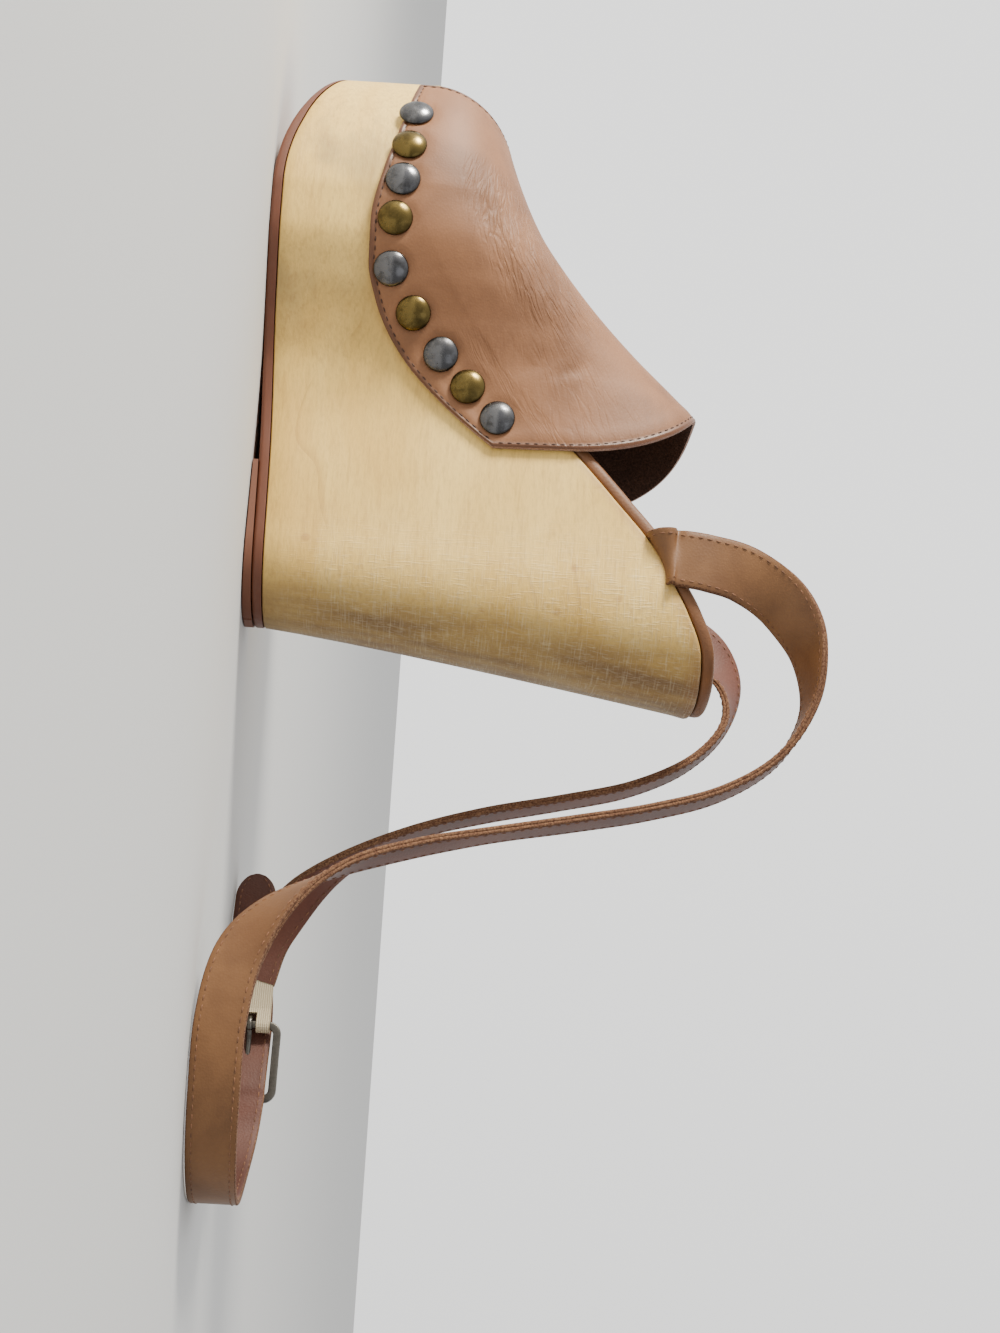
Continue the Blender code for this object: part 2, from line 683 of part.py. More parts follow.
def make_prong(material):
    """Pin that turns on the rear bar, goes through the strap and lies on the front bar."""
    bar = (BUCKLE_LENGTH - BUCKLE_BAR) / 2
    eye = BUCKLE_BAR / 2 + GAP + PRONG_RADIUS
    front = BUCKLE_DEPTH / 2 + GAP + PRONG_RADIUS
    turns = [math.radians(150 - 260 * i / 11) for i in range(12)]
    route = [(bar + eye * math.cos(a), -eye * math.sin(a)) for a in reversed(turns)]
    route += [(bar - 6.5, 0.4), (bar - 11.0, 1.2), (bar - 15.0, 2.6), (bar - 19.5, front + 0.6),
              (-bar + 1.0, front), (-bar - 1.0, front)]
    centres = [BUCKLE_CENTRE + ALONG * a + OUTWARD * o for a, o in route]
    mesh = bmesh.new()
    loops = []
    for i, centre in enumerate(centres):
        run = (centres[min(i + 1, len(centres) - 1)] - centres[max(i - 1, 0)]).normalized()
        side = run.cross(UP).normalized()
        loops.append([mesh.verts.new(centre + (side * math.cos(a) + UP * math.sin(a)) * PRONG_RADIUS)
                      for a in (math.pi / 4 * k for k in range(8))])
    for a, b in zip(loops, loops[1:]):
        for k in range(8):
            mesh.faces.new((a[k], a[(k + 1) % 8], b[(k + 1) % 8], b[k]))
    mesh.faces.new(loops[0])
    mesh.faces.new(loops[-1])
    return build_object("buckle_prong", mesh, material)


def main():
    for obj in list(bpy.data.objects):
        bpy.data.objects.remove(obj, do_unlink=True)

    wood = make_material("pale_wood", (0.69, 0.56, 0.37), 0.55)
    rubber = make_material("brown_rubber", (0.27, 0.17, 0.11), 0.75)
    sole_leather = make_material("sole_leather", (0.36, 0.15, 0.07), 0.5)
    sock_leather = make_material("sock_leather", (0.30, 0.19, 0.11), 0.6)
    vamp_leather = make_material("vamp_leather", (0.42, 0.25, 0.16), 0.55)
    strap_leather = make_material("strap_leather", (0.26, 0.14, 0.07), 0.6)
    elastic = make_material("cream_elastic", (0.62, 0.55, 0.42), 0.85)
    silver = make_material("aged_silver", (0.42, 0.41, 0.40), 0.35, 1.0)
    brass = make_material("aged_brass", (0.40, 0.32, 0.16), 0.4, 1.0)
    gunmetal = make_material("gunmetal", (0.16, 0.14, 0.12), 0.4, 1.0)

    make_heel_lift(rubber)
    make_outsole(sole_leather)
    make_wedge(wood)
    make_insole(sock_leather)
    upper = make_upper(vamp_leather)
    skin = BVHTree.FromPolygons([v.co / MM + ORIGIN for v in upper.data.vertices],
                                [tuple(f.vertices) for f in upper.data.polygons])
    for side, word, places in ((1, "medial", STUDS_MEDIAL), (-1, "lateral", STUDS_LATERAL)):
        for i, x in enumerate(places):
            make_stud(f"stud_{word}_{i + 1:02d}", x, side, skin, brass if i % 2 else silver)

    strap = make_strap("strap_long", strap_rows(STRAP_LONG, THREAD), strap_leather)
    hole = in_buckle(THREAD_HOLE, 0.0, BUCKLE_CENTRE.z)
    oval = Matrix((ALONG * HOLE_STRETCH, UP, OUTWARD)).transposed().to_4x4()
    cut(strap, make_rod("guide_hole", hole, oval, HOLE_RADIUS, BUCKLE_WIDTH, strap_leather))
    make_strap("strap_short", strap_rows(STRAP_SHORT, STUB), strap_leather)
    make_buckle_frame(gunmetal)
    make_elastic(elastic)
    make_prong(gunmetal)


main()
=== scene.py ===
"""Looks of the wooden wedge sandal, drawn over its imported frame.

Sizes are millimetres, with x from the rear end of the heel lift, as in the CAD. build_piece
turns them into metres and moves the origin to the middle of the heel lift.
"""
import math

import bmesh
import bpy
from mathutils import Matrix, Vector
from mathutils.bvhtree import BVHTree


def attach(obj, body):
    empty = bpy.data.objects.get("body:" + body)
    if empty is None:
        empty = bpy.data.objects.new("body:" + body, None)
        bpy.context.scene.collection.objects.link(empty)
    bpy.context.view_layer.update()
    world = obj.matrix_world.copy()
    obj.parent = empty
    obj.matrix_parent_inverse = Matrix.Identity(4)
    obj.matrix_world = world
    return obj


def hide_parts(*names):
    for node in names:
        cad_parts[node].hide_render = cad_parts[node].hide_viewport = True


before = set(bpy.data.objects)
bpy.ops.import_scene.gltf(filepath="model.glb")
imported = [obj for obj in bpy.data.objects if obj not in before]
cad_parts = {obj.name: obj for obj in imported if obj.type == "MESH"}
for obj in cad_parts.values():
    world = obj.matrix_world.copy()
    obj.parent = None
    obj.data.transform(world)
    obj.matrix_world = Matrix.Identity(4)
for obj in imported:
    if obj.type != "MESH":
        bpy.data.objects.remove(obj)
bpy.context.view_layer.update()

MM = 0.001
ORIGIN = Vector((26.5, 0.0, 0.0))
UP = Vector((0.0, 0.0, 1.0))

# Sole unit
OUTLINE_STEPS = 150
SOLE_LENGTH = 216.0
HEEL_ROUND = 26.0
TOE_ROUND = 150.0
HEEL_BLUNT = 2.15
TOE_BLUNT = 2.1
BACK_OVERHANG = 22.5
BACK_CURVE = 1.15
BACK_FADE = 60.0
SPRING_START = 150.0
SPRING_HEIGHT = 24.7
SPRING_POWER = 1.9
LEATHER = 3.5
LEATHER_TOE = 0.9
LEATHER_TAPER_START = 178.0
LIFT_LENGTH = 53.0
INSOLE_THICKNESS = 4.3
INSOLE_TOE_THICKNESS = 2.8
INSOLE_INSET = 0.5
LIFT_STEPS = 212
LIFT_MIN_X = 0.25
LIFT_ROUND = 0.45
LIFT_SHARES = (-1.0, -0.985, -0.94, -0.88, -0.5, 0.0, 0.5, 0.88, 0.94, 0.985, 1.0)
RIB_PITCH = 2.05
RIB_DEPTH = 0.7
GAP = 0.3
SLOPED_GAP = 0.45

# Upper
WALL = 2.2
UPPER_GAP = 0.5
UPPER_OUT = UPPER_GAP + WALL
ARCH_POWER = 2.35
CREST_SHIFT = 3.0
FRONT_MEDIAL_X = 200.5
FRONT_CREST_X = 188.0
FRONT_LATERAL_X = 195.0
REAR_MEDIAL_X = 61.0
REAR_LATERAL_X = 62.0
REAR_CREST_X = 88.0
FRONT_LEAN_POWER = 1.5
REAR_LEAN_POWER = 2.2
FOOTBED_RISE = 0.12
LATERAL_EDGE_SHIFT = 2.0
SHARE_STEP = 0.004
TURN_STEP = 0.02
TURN_LENGTH = 78.0
SPREAD_GROWTH = 0.22

# Pressed leather of the upper: depths, and zones from where an effect starts to where it is full.
# A zone of four numbers fades out again between its last two
SEAM_DEPTH = 0.30
SEAM_WIDTH = 0.55
EDGE_ROUND = 0.5
RIM_SWELL = 0.12
RIM_ZONE = (3.2, 5.0, 5.5, 9.0)
DIMPLE_DEPTH = 0.42
DIMPLE_ZONE = (9.5, 5.8)
CLEAR_OF_EDGE = (3.0, 8.0)
CLEAR_OF_STUD = (7.0, 9.5)
FOLD_ALONG = (30.0, 52.0, 96.0, 118.0)
FOLD_OVER = (6.0, 19.0, 38.0, 58.0)
REAR_FOLD = 0.30
REAR_FOLD_ALONG = (100.0, 114.0)
REAR_FOLD_OVER = (-14.0, -4.0, 14.0, 36.0)
ARCH_HALF = 70.0
CREASE_LEAN = math.radians(17.0)
CREASE_WANDER = 0.8
CREASE_WAVE = 6.0
CREASE_FADE = 1.4
RIDGE_SHARE = 0.5
RIDGE_OFFSET = 1.8

# Strap and buckle
STRAP_THICKNESS = 2.6
STRAP_GROOVE = 0.975
STRAP_MIN_REACH = 1.5
STRAP_FLOOR = 0.15
BUCKLE_LENGTH = 29.0
BUCKLE_WIDTH = 22.6
BUCKLE_BAR = 2.8
BUCKLE_DEPTH = 2.2
BUCKLE_CORNER = 3.2
PRONG_RADIUS = 0.9
PRONG_TIP = (0.92, 0.75, 0.35)
TIP_LENGTH = 12.0

# Camera: azimuth, elevation and roll in degrees, and the frame's shift in mm on the film
LENS = 52.75
CAMERA_TARGET = Vector((90.0, 30.0, 75.0))
CAMERA_DISTANCE = 700.0
CAMERA_ANGLES = (206.0, -1.0, 94.06)
FRAME_ASIDE = 0.75
FRAME_DOWN = -8.0

# Studio: floor in metres, and the world's strength, 0.40 away from the bright side and 1.80 towards it
FLOOR_REACH = 6.0
FLOOR_Z = -0.0001
BRIGHT_SIDE = Vector((0.85, -0.5, 0.17))
STUDIO_LEVELS = (-0.7, 0.8, 0.40, 1.80)

# Sewing
STITCH_PITCH = 3.1
STITCH_LENGTH = 2.1
STITCH_WIDTH = 0.5
STITCH_MARGIN = 2.1
STITCH_DIP = 0.28
STITCH_RINGS = ((-1.0, 0.25), (-0.8, 0.75), (-0.3, 1.0), (0.3, 1.0), (0.8, 0.75), (1.0, 0.25))
STRAP_MARGIN = 1.9
SEAM_STEPS = 120

# Where the wood's and the sole's marks and the wood's painted shade at the heel's back lie, from where they
# start to where they are full
SHADED_BACK_FACING = (0.22, 0.90)
HATCH_X = (45.0, 5.0)
HATCH_Z = (8.0, 30.0)
STAIN_X = (80.0, 125.0, 185.0, 210.0)
WORN_X = (84.0, 104.0, 170.0, 196.0)

# Outlines of a part from its underside up. Wedge: level, rise, inset, dark edge
WEDGE_RINGS = (
    (0.0, 0.0, 0.5, 1.0),
    (0.0, 0.5, 0.0, 0.0),
    *((level, 0.0, 0.0, 0.0) for level in (0.08, 0.2, 0.32, 0.44, 0.56, 0.68, 0.8, 0.9, 0.96)),
    (1.0, -1.3, 0.0, 1.0),
    (1.0, -0.5, 0.15, 1.0),
    (1.0, -0.12, 0.5, 1.0),
    (1.0, 0.0, 1.1, 0.0),
)
# Outsole: share of the thickness, inset, dark edge. Insole: share of the thickness, inset
OUTSOLE_RINGS = ((0.0, 1.6, 0.0), (0.06, 0.7, 0.7), (0.2, 0.15, 1.0), (0.4, 0.0, 1.0), (1.0, 0.0, 1.0))
INSOLE_RINGS = (
    (0.0, 1.1), (0.06, 0.6), (0.2, 0.32), (0.5, 0.2), (0.78, 0.4), (0.93, 1.0), (1.0, 2.0), (1.0, 6.0),
)
# Stud: radius, height, dull rim
STUD_RINGS = (
    (6.0, -0.5, 1.0),
    (6.25, -0.2, 1.0),
    (6.2, 0.15, 1.0),
    (5.95, 0.45, 0.6),
    (5.5, 0.82, 0.15),
    *((radius, height, 0.0) for radius, height in (
        (4.8, 1.30), (3.9, 1.74), (2.9, 2.08), (1.8, 2.30), (0.8, 2.40), (0.15, 2.42))),
)
# One face of the strap's section: shares of half its width and of half its thickness
STRAP_FACE = (
    (-1.0, 0.16), (-1.0, 0.75), (-0.955, 1.0), (-0.74, 0.93), (-0.5, 1.0), (0.0, 1.0), (0.5, 1.0),
    (0.74, 0.93), (0.955, 1.0), (1.0, 0.75), (1.0, 0.16),
)

PLAN_COLUMNS = ("x", "sole_medial", "sole_lateral", "top_medial", "top_lateral")
PLAN = (
    (26.0, 24.0, 24.0, 32.6, 32.6), (50.0, 23.6, 24.2, 31.4, 31.6),
    (72.0, 22.8, 24.2, 30.0, 31.0), (90.0, 24.5, 25.4, 31.6, 32.4),
    (105.0, 30.0, 28.2, 36.0, 35.2), (120.0, 38.2, 32.0, 42.6, 38.6),
    (135.0, 45.4, 35.2, 48.2, 41.4), (150.0, 48.0, 37.0, 50.4, 42.6),
)
LINE_COLUMNS = ("x", "z")
FOOTBED = (
    (-22.5, 160.5), (-10.0, 159.2), (4.0, 153.7), (12.7, 149.2), (25.0, 142.8),
    (45.0, 126.5), (63.5, 110.5), (80.0, 95.5), (100.0, 78.5), (120.0, 63.5),
    (135.0, 55.5), (150.0, 52.5), (187.0, 56.0), (216.0, 58.5),
)
CREST = (
    (56.0, 182.0), (72.0, 173.0), (85.0, 162.0), (95.0, 151.5), (105.0, 140.0),
    (120.0, 124.0), (135.0, 110.5), (150.0, 100.0), (170.0, 91.0), (190.0, 84.5),
    (206.0, 79.0),
)
UNDERSIDE = ((0.0, 3.5), (53.0, 2.3), (112.0, 0.0), (150.0, 0.0))
EDGE_COLUMNS = ("x", "lower", "studs")
EDGE = (
    (61.0, 83.6, 94.0), (67.5, 75.5, 88.6), (76.4, 65.1, 79.6), (88.8, 52.7, 67.6),
    (100.7, 43.8, 57.4), (111.0, 38.8, 49.6), (122.0, 35.8, 43.6), (136.0, 35.6, 44.2),
    (154.0, 38.6, 46.3), (172.6, 43.2, 48.0), (187.0, 46.3, 49.6), (204.0, 49.8, 51.5),
)
CREASE_COLUMNS = ("side", "along", "over", "lean", "reach", "width", "depth")
CREASES = (
    (1, 68.0, 17.0, -8.0, 30.0, 3.6, 0.60), (1, 60.0, 27.0, -16.0, 14.0, 1.8, 0.34),
    (1, 70.0, 31.0, -18.0, 16.0, 1.7, 0.36), (1, 79.0, 26.0, -20.0, 13.0, 1.7, 0.34),
    (1, 84.0, 37.0, -17.0, 15.0, 1.8, 0.34), (1, 93.0, 30.0, -24.0, 12.0, 1.7, 0.30),
    (1, 52.0, 36.0, -12.0, 12.0, 1.9, 0.28), (1, 99.0, 41.0, -22.0, 11.0, 1.8, 0.26),
    (1, 117.0, 5.0, -50.0, 8.0, 1.5, 0.26), (1, 120.0, 12.0, -68.0, 9.0, 1.5, 0.24),
    (1, 112.0, -3.0, -28.0, 7.0, 1.4, 0.22), (-1, 70.0, 18.0, -8.0, 28.0, 3.6, 0.55),
    (-1, 63.0, 30.0, -16.0, 15.0, 1.8, 0.32), (-1, 76.0, 34.0, -19.0, 14.0, 1.8, 0.32),
    (-1, 88.0, 28.0, -22.0, 13.0, 1.7, 0.30), (-1, 97.0, 39.0, -20.0, 12.0, 1.8, 0.28),
    (-1, 116.0, 6.0, -50.0, 8.0, 1.5, 0.24),
)
STUDS_MEDIAL = (181.0, 165.5, 151.0, 136.5, 120.0, 106.5, 93.5, 82.5, 71.5)
STUDS_LATERAL = (188.0, 176.0, 163.5, 150.0, 135.5, 120.0, 106.0, 94.0, 83.0, 72.5)

# Straps: x, y and z of the middle, the direction across as x, y and z, and the width
STRAP_LONG = (
    (24.2, 29.5, 144.0, 0.88, 0.00, -0.48, 20.0),
    (23.8, 32.4, 144.5, 0.88, 0.00, -0.48, 20.0),
    (23.3, 34.2, 147.0, 0.88, 0.00, -0.48, 20.0),
    (22.9, 34.0, 150.5, 0.93, 0.00, -0.37, 20.0),
    (21.5, 34.7, 160.0, 0.99, 0.05, -0.12, 20.0),
    (18.0, 34.6, 173.0, 0.95, 0.25, 0.15, 19.8),
    (9.0, 32.0, 187.0, 0.78, 0.58, 0.25, 19.5),
    (-6.0, 28.0, 196.0, 0.45, 0.86, 0.22, 19.2),
    (-25.0, 24.5, 197.0, 0.15, 0.98, 0.10, 18.8),
    (-43.0, 22.0, 187.0, 0.00, 1.00, 0.00, 18.4),
    (-56.0, 21.0, 168.0, 0.00, 1.00, 0.00, 18.0),
    (-64.0, 21.0, 144.0, 0.00, 1.00, 0.00, 17.8),
    (-70.0, 22.0, 118.0, 0.00, 1.00, 0.00, 17.6),
    (-76.0, 24.0, 91.0, 0.00, 1.00, 0.05, 17.4),
    (-83.0, 27.0, 65.0, 0.12, 0.95, 0.20, 17.2),
    (-92.0, 31.0, 42.0, 0.20, 0.82, 0.50, 17.0),
    (-105.0, 36.0, 24.0, 0.12, 0.55, 0.80, 16.8),
    (-122.0, 40.5, 13.0, 0.03, 0.20, 0.98, 16.6),
    (-143.0, 42.0, 9.0, 0.00, 0.00, 1.00, 16.4),
    (-165.0, 38.0, 8.6, 0.00, 0.00, 1.00, 16.2),
    (-184.0, 27.0, 8.5, 0.00, 0.00, 1.00, 16.0),
    (-195.0, 9.0, 8.4, 0.00, 0.00, 1.00, 15.8),
    (-196.0, -11.0, 8.4, 0.00, 0.00, 1.00, 15.6),
    (-188.0, -29.0, 8.9, 0.00, 0.00, 1.00, 15.4),
    (-174.0, -41.0, 10.5, 0.00, 0.00, 1.00, 15.2),
)
STRAP_SHORT = (
    (22.2, -29.5, 145.2, 0.88, 0.00, -0.48, 20.0),
    (21.8, -32.4, 145.7, 0.88, 0.00, -0.48, 20.0),
    (21.3, -34.2, 148.2, 0.88, 0.00, -0.48, 20.0),
    (20.6, -34.0, 151.6, 0.93, 0.00, -0.37, 20.0),
    (17.5, -34.7, 160.5, 0.97, -0.05, -0.10, 20.0),
    (11.0, -35.0, 170.5, 0.88, -0.25, 0.35, 19.6),
    (-2.0, -33.0, 178.0, 0.50, -0.75, 0.42, 19.0),
    (-19.0, -30.0, 176.0, 0.12, -0.98, 0.15, 18.4),
    (-34.0, -27.0, 163.0, 0.00, -1.00, 0.00, 17.8),
    (-45.0, -25.5, 142.0, 0.00, -1.00, 0.00, 17.4),
    (-51.5, -26.5, 117.0, 0.00, -1.00, 0.00, 17.0),
    (-57.0, -29.5, 91.0, 0.00, -1.00, 0.05, 16.6),
    (-63.5, -35.5, 66.0, 0.10, -0.93, 0.30, 16.2),
    (-72.5, -43.0, 44.5, 0.15, -0.75, 0.60, 15.9),
    (-84.5, -50.5, 28.0, 0.10, -0.42, 0.88, 15.6),
)
BUCKLE_CENTRE = Vector((-147.0, -51.0, BUCKLE_WIDTH / 2 + STRAP_FLOOR))
BUCKLE_TURN = math.radians(-6.0)
ALONG = Vector((math.cos(BUCKLE_TURN), math.sin(BUCKLE_TURN), 0.0))
OUTWARD = Vector((math.sin(BUCKLE_TURN), -math.cos(BUCKLE_TURN), 0.0))
# Last stretch of each strap, at the buckle: along, outward, z and width
THREAD = (
    (-15.0, -3.6, 11.45, 15.0), (-9.0, -2.6, 11.45, 15.0), (0.0, 0.6, 11.45, 15.0),
    (7.0, 3.6, 11.45, 15.0), (13.5, 5.5, 11.45, 15.0), (20.0, 5.6, 11.2, 15.0),
    (28.0, 5.6, 10.4, 15.0), (40.0, 7.4, 8.6, 15.0), (54.0, 11.5, 8.0, 15.0),
    (66.0, 16.5, 7.8, 15.0), (75.0, 20.8, 7.4, 15.0),
)
STUB = ((46.0, 0.4, 16.0, 15.3), (29.5, 0.0, 11.45, 15.0))


# Shape functions
def smooth(low, high, value):
    t = min(1.0, max(0.0, (value - low) / (high - low)))
    return t * t * (3 - 2 * t)


def window(value, low, rise, fall, high):
    """1 between rise and fall, going smoothly to 0 at low and high."""
    return smooth(low, rise, value) * smooth(high, fall, value)


def read(table, columns, name, x):
    """Value of a table's column at x, on a smooth curve that never overshoots its rows."""
    col = columns.index(name)
    if x <= table[0][0]:
        return table[0][col]
    if x >= table[-1][0]:
        return table[-1][col]

    def grade(i):
        return (table[i + 1][col] - table[i][col]) / (table[i + 1][0] - table[i][0])

    row = max(i for i in range(len(table) - 1) if table[i][0] <= x)
    slopes = []
    for i in (row, row + 1):
        before, after = grade(max(i - 1, 0)), grade(min(i, len(table) - 2))
        slopes.append(2 * before * after / (before + after) if before * after > 0 else 0.0)
    span = table[row + 1][0] - table[row][0]
    t = (x - table[row][0]) / span
    return ((2 * t**3 - 3 * t**2 + 1) * table[row][col] + (t**3 - 2 * t**2 + t) * span * slopes[0]
            + (3 * t**2 - 2 * t**3) * table[row + 1][col] + (t**3 - t**2) * span * slopes[1])


def rounding(x):
    if x < HEEL_ROUND:
        return max(0.0, 1 - ((HEEL_ROUND - x) / HEEL_ROUND) ** HEEL_BLUNT) ** (1 / HEEL_BLUNT)
    if x > TOE_ROUND:
        reach = (x - TOE_ROUND) / (SOLE_LENGTH - TOE_ROUND)
        return max(0.0, 1 - reach**TOE_BLUNT) ** (1 / TOE_BLUNT)
    return 1.0


def half_width(x, side, level):
    name = "medial" if side > 0 else "lateral"
    low = read(PLAN, PLAN_COLUMNS, "sole_" + name, x)
    high = read(PLAN, PLAN_COLUMNS, "top_" + name, x)
    return (low + (high - low) * level) * rounding(x)


def underside(x):
    if x <= SPRING_START:
        return read(UNDERSIDE, LINE_COLUMNS, "z", x)
    return SPRING_HEIGHT * ((x - SPRING_START) / (SOLE_LENGTH - SPRING_START)) ** SPRING_POWER


def leather_thickness(x):
    taper = (x - LEATHER_TAPER_START) / (SOLE_LENGTH - LEATHER_TAPER_START)
    return LEATHER + (LEATHER_TOE - LEATHER) * min(1.0, max(0.0, taper))


def wood_bottom(x):
    return underside(x) + leather_thickness(x) + GAP


def footbed(x):
    return read(FOOTBED, LINE_COLUMNS, "z", x)


def footbed_slope(x):
    return math.hypot(1.0, (footbed(x + 1) - footbed(x - 1)) / 2)


def back_shift(x, level):
    return -BACK_OVERHANG * level**BACK_CURVE * smooth(BACK_FADE, 0.0, x)


def ring(level, height, inset):
    """Closed outline at one level: inner side to the toe and outer side back, moved inward by inset."""
    xs = [SOLE_LENGTH * (1 - math.cos(math.pi * i / OUTLINE_STEPS)) / 2 for i in range(OUTLINE_STEPS + 1)]
    places = [(x, 1) for x in xs] + [(x, -1) for x in reversed(xs[1:-1])]
    points = []
    for x, side in places:
        px = x + back_shift(x, level)
        points.append(Vector((px, side * half_width(x, side, level), height(x, px))))
    if not inset:
        return points
    return [point + inward_of(points, i) * inset for i, point in enumerate(points)]


def inward_of(points, i):
    """Level direction into a closed outline at its point i."""
    run = points[(i + 1) % len(points)] - points[i - 1]
    return Vector((run.y, -run.x, 0.0)).normalized()


def circle(count):
    return [(math.cos(2 * math.pi * k / count), math.sin(2 * math.pi * k / count)) for k in range(count)]


def rounded_box(half_u, half_v, round_u, round_v, steps):
    """Outline of a box with the given half sizes and corner radii, with steps along each corner."""
    points = []
    for quarter, (su, sv) in enumerate(((1, 1), (-1, 1), (-1, -1), (1, -1))):
        for step in range(steps + 1):
            angle = math.pi / 2 * (quarter + step / steps)
            points.append((su * (half_u - round_u) + round_u * math.cos(angle),
                           sv * (half_v - round_v) + round_v * math.sin(angle)))
    return points


# Mesh helpers
class Shape:
    """Points and faces in millimetres, with a material number for each face and named point values."""

    def __init__(self):
        self.points, self.faces, self.slots, self.values = [], [], [], {}

    def add(self, point, **values):
        self.points.append(Vector(point))
        for name, value in values.items():
            self.values.setdefault(name, {})[len(self.points) - 1] = value
        return len(self.points) - 1

    def face(self, corners, slot=0):
        corners = list(dict.fromkeys(corners))
        if len(corners) > 2:
            self.faces.append(corners)
            self.slots.append(slot)

    def skin(self, rows, closed, slot=0):
        for a, b in zip(rows, rows[1:]):
            for j in range(len(a) if closed else len(a) - 1):
                k = (j + 1) % len(a)
                self.face((a[j], a[k], b[k], b[j]), slot)

    def tube(self, rings):
        """Skin over closed rings, with one flat face on each end."""
        self.skin(rings, True)
        self.face(rings[0])
        self.face(rings[-1])

    def block(self, rings):
        """Skin over outlines from ring, whose ends are closed by strips from side to side."""
        self.skin(rings, True)
        for loop in (rings[0], rings[-1]):
            count = len(loop)
            for i in range(count // 2):
                self.face((loop[i], loop[i + 1], loop[(count - i - 1) % count], loop[(count - i) % count]))


def build_piece(name, shape, materials, replaced, sharp=50.0):
    """Put a shape into the scene as a piece of the shoe."""
    mesh = bpy.data.meshes.new(name)
    mesh.from_pydata([(p - ORIGIN) * MM for p in shape.points], [], shape.faces)
    mesh.polygons.foreach_set("material_index", shape.slots)
    for key, values in shape.values.items():
        layer = mesh.attributes.new(key, "FLOAT", "POINT")
        layer.data.foreach_set("value", [values.get(i, 0.0) for i in range(len(mesh.vertices))])
    work = bmesh.new()
    work.from_mesh(mesh)
    bmesh.ops.recalc_face_normals(work, faces=work.faces)
    work.to_mesh(mesh)
    work.free()
    for material in materials:
        mesh.materials.append(material)
    mesh.shade_smooth()
    mesh.set_sharp_from_angle(angle=math.radians(sharp))
    piece = bpy.data.objects.new(name, mesh)
    bpy.context.scene.collection.objects.link(piece)
    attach(piece, "root")
    if replaced:
        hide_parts(*replaced)


# Materials
class Nodes:
    """Short way to build a material's nodes: a value is a number, a colour, or another node's output."""

    def __init__(self, name):
        self.material = bpy.data.materials.new(name)
        self.material.use_nodes = True
        self.tree = self.material.node_tree
        self.shader = self.tree.nodes["Principled BSDF"]
        self.place = self.tree.nodes.new("ShaderNodeTexCoord").outputs["Object"]

    def put(self, node, inputs):
        for key, value in inputs.items():
            socket = node.inputs[key.replace("_", " ") if isinstance(key, str) else key]
            if isinstance(value, bpy.types.NodeSocket):
                self.tree.links.new(value, socket)
            else:
                socket.default_value = value

    def node(self, kind, settings=(), **inputs):
        node = self.tree.nodes.new("ShaderNode" + kind)
        for key, value in dict(settings).items():
            setattr(node, key, value)
        self.put(node, inputs)
        return node

    def noise(self, scale, detail=4.0, rough=0.55, distortion=0.0):
        scale = scale if isinstance(scale, tuple) else (scale,) * 3
        stretched = self.node("Mapping", Vector=self.place, Scale=scale).outputs["Vector"]
        return self.node("TexNoise", Vector=stretched, Scale=1.0, Detail=detail, Roughness=rough,
                         Distortion=distortion).outputs["Fac"]

    def cells(self, scale, feature="F1", place=None):
        return self.node("TexVoronoi", {"feature": feature}, Vector=place or self.place,
                         Scale=scale).outputs["Distance"]

    def wander(self, place, scale, reach):
        """The place moved about by noise, so that cells get uneven outlines."""
        noise = self.node("TexNoise", Vector=place, Scale=scale, Detail=2.0).outputs["Color"]
        moved = self.node("VectorMath", {"operation": "MULTIPLY_ADD"})
        self.put(moved, {0: noise, 1: (reach, reach, 0.0), 2: place})
        return moved.outputs["Vector"]

    def ramp(self, value, low, high, to_low=0.0, to_high=1.0):
        node = self.node("MapRange", {"interpolation_type": "SMOOTHSTEP"}, Value=value)
        for key, number in (("From Min", low), ("From Max", high), ("To Min", to_low), ("To Max", to_high)):
            node.inputs[key].default_value = number
        return node.outputs["Result"]

    def maths(self, operation, a, b=0.0):
        node = self.node("Math", {"operation": operation})
        self.put(node, {0: a, 1: b})
        return node.outputs[0]

    def times(self, a, b):
        return self.maths("MULTIPLY", a, b)

    def mix(self, share, a, b):
        node = self.node("Mix", {"data_type": "RGBA"})
        self.put(node, {0: share, 6: a, 7: b})
        return node.outputs[2]

    def lay(self, base, tint, mask, share):
        """The base colour with a tint laid over it where the mask is high."""
        return self.mix(self.times(mask, share), base, tint)

    def value(self, name):
        return self.node("Attribute", {"attribute_name": name}).outputs["Fac"]

    def height(self, value, distance, strength, under=None):
        inputs = {"Height": value, "Distance": distance, "Strength": strength}
        if under is not None:
            inputs["Normal"] = under
        return self.node("Bump", **inputs).outputs["Normal"]

    def finish(self, **inputs):
        self.put(self.shader, inputs)
        return self.material


def colour(red, green, blue):
    """Linear colour from the 0 to 255 values that a screen shows."""
    out = []
    for value in (red, green, blue):
        share = value / 255
        out.append(share / 12.92 if share <= 0.04045 else ((share + 0.055) / 1.055) ** 2.4)
    return (*out, 1.0)


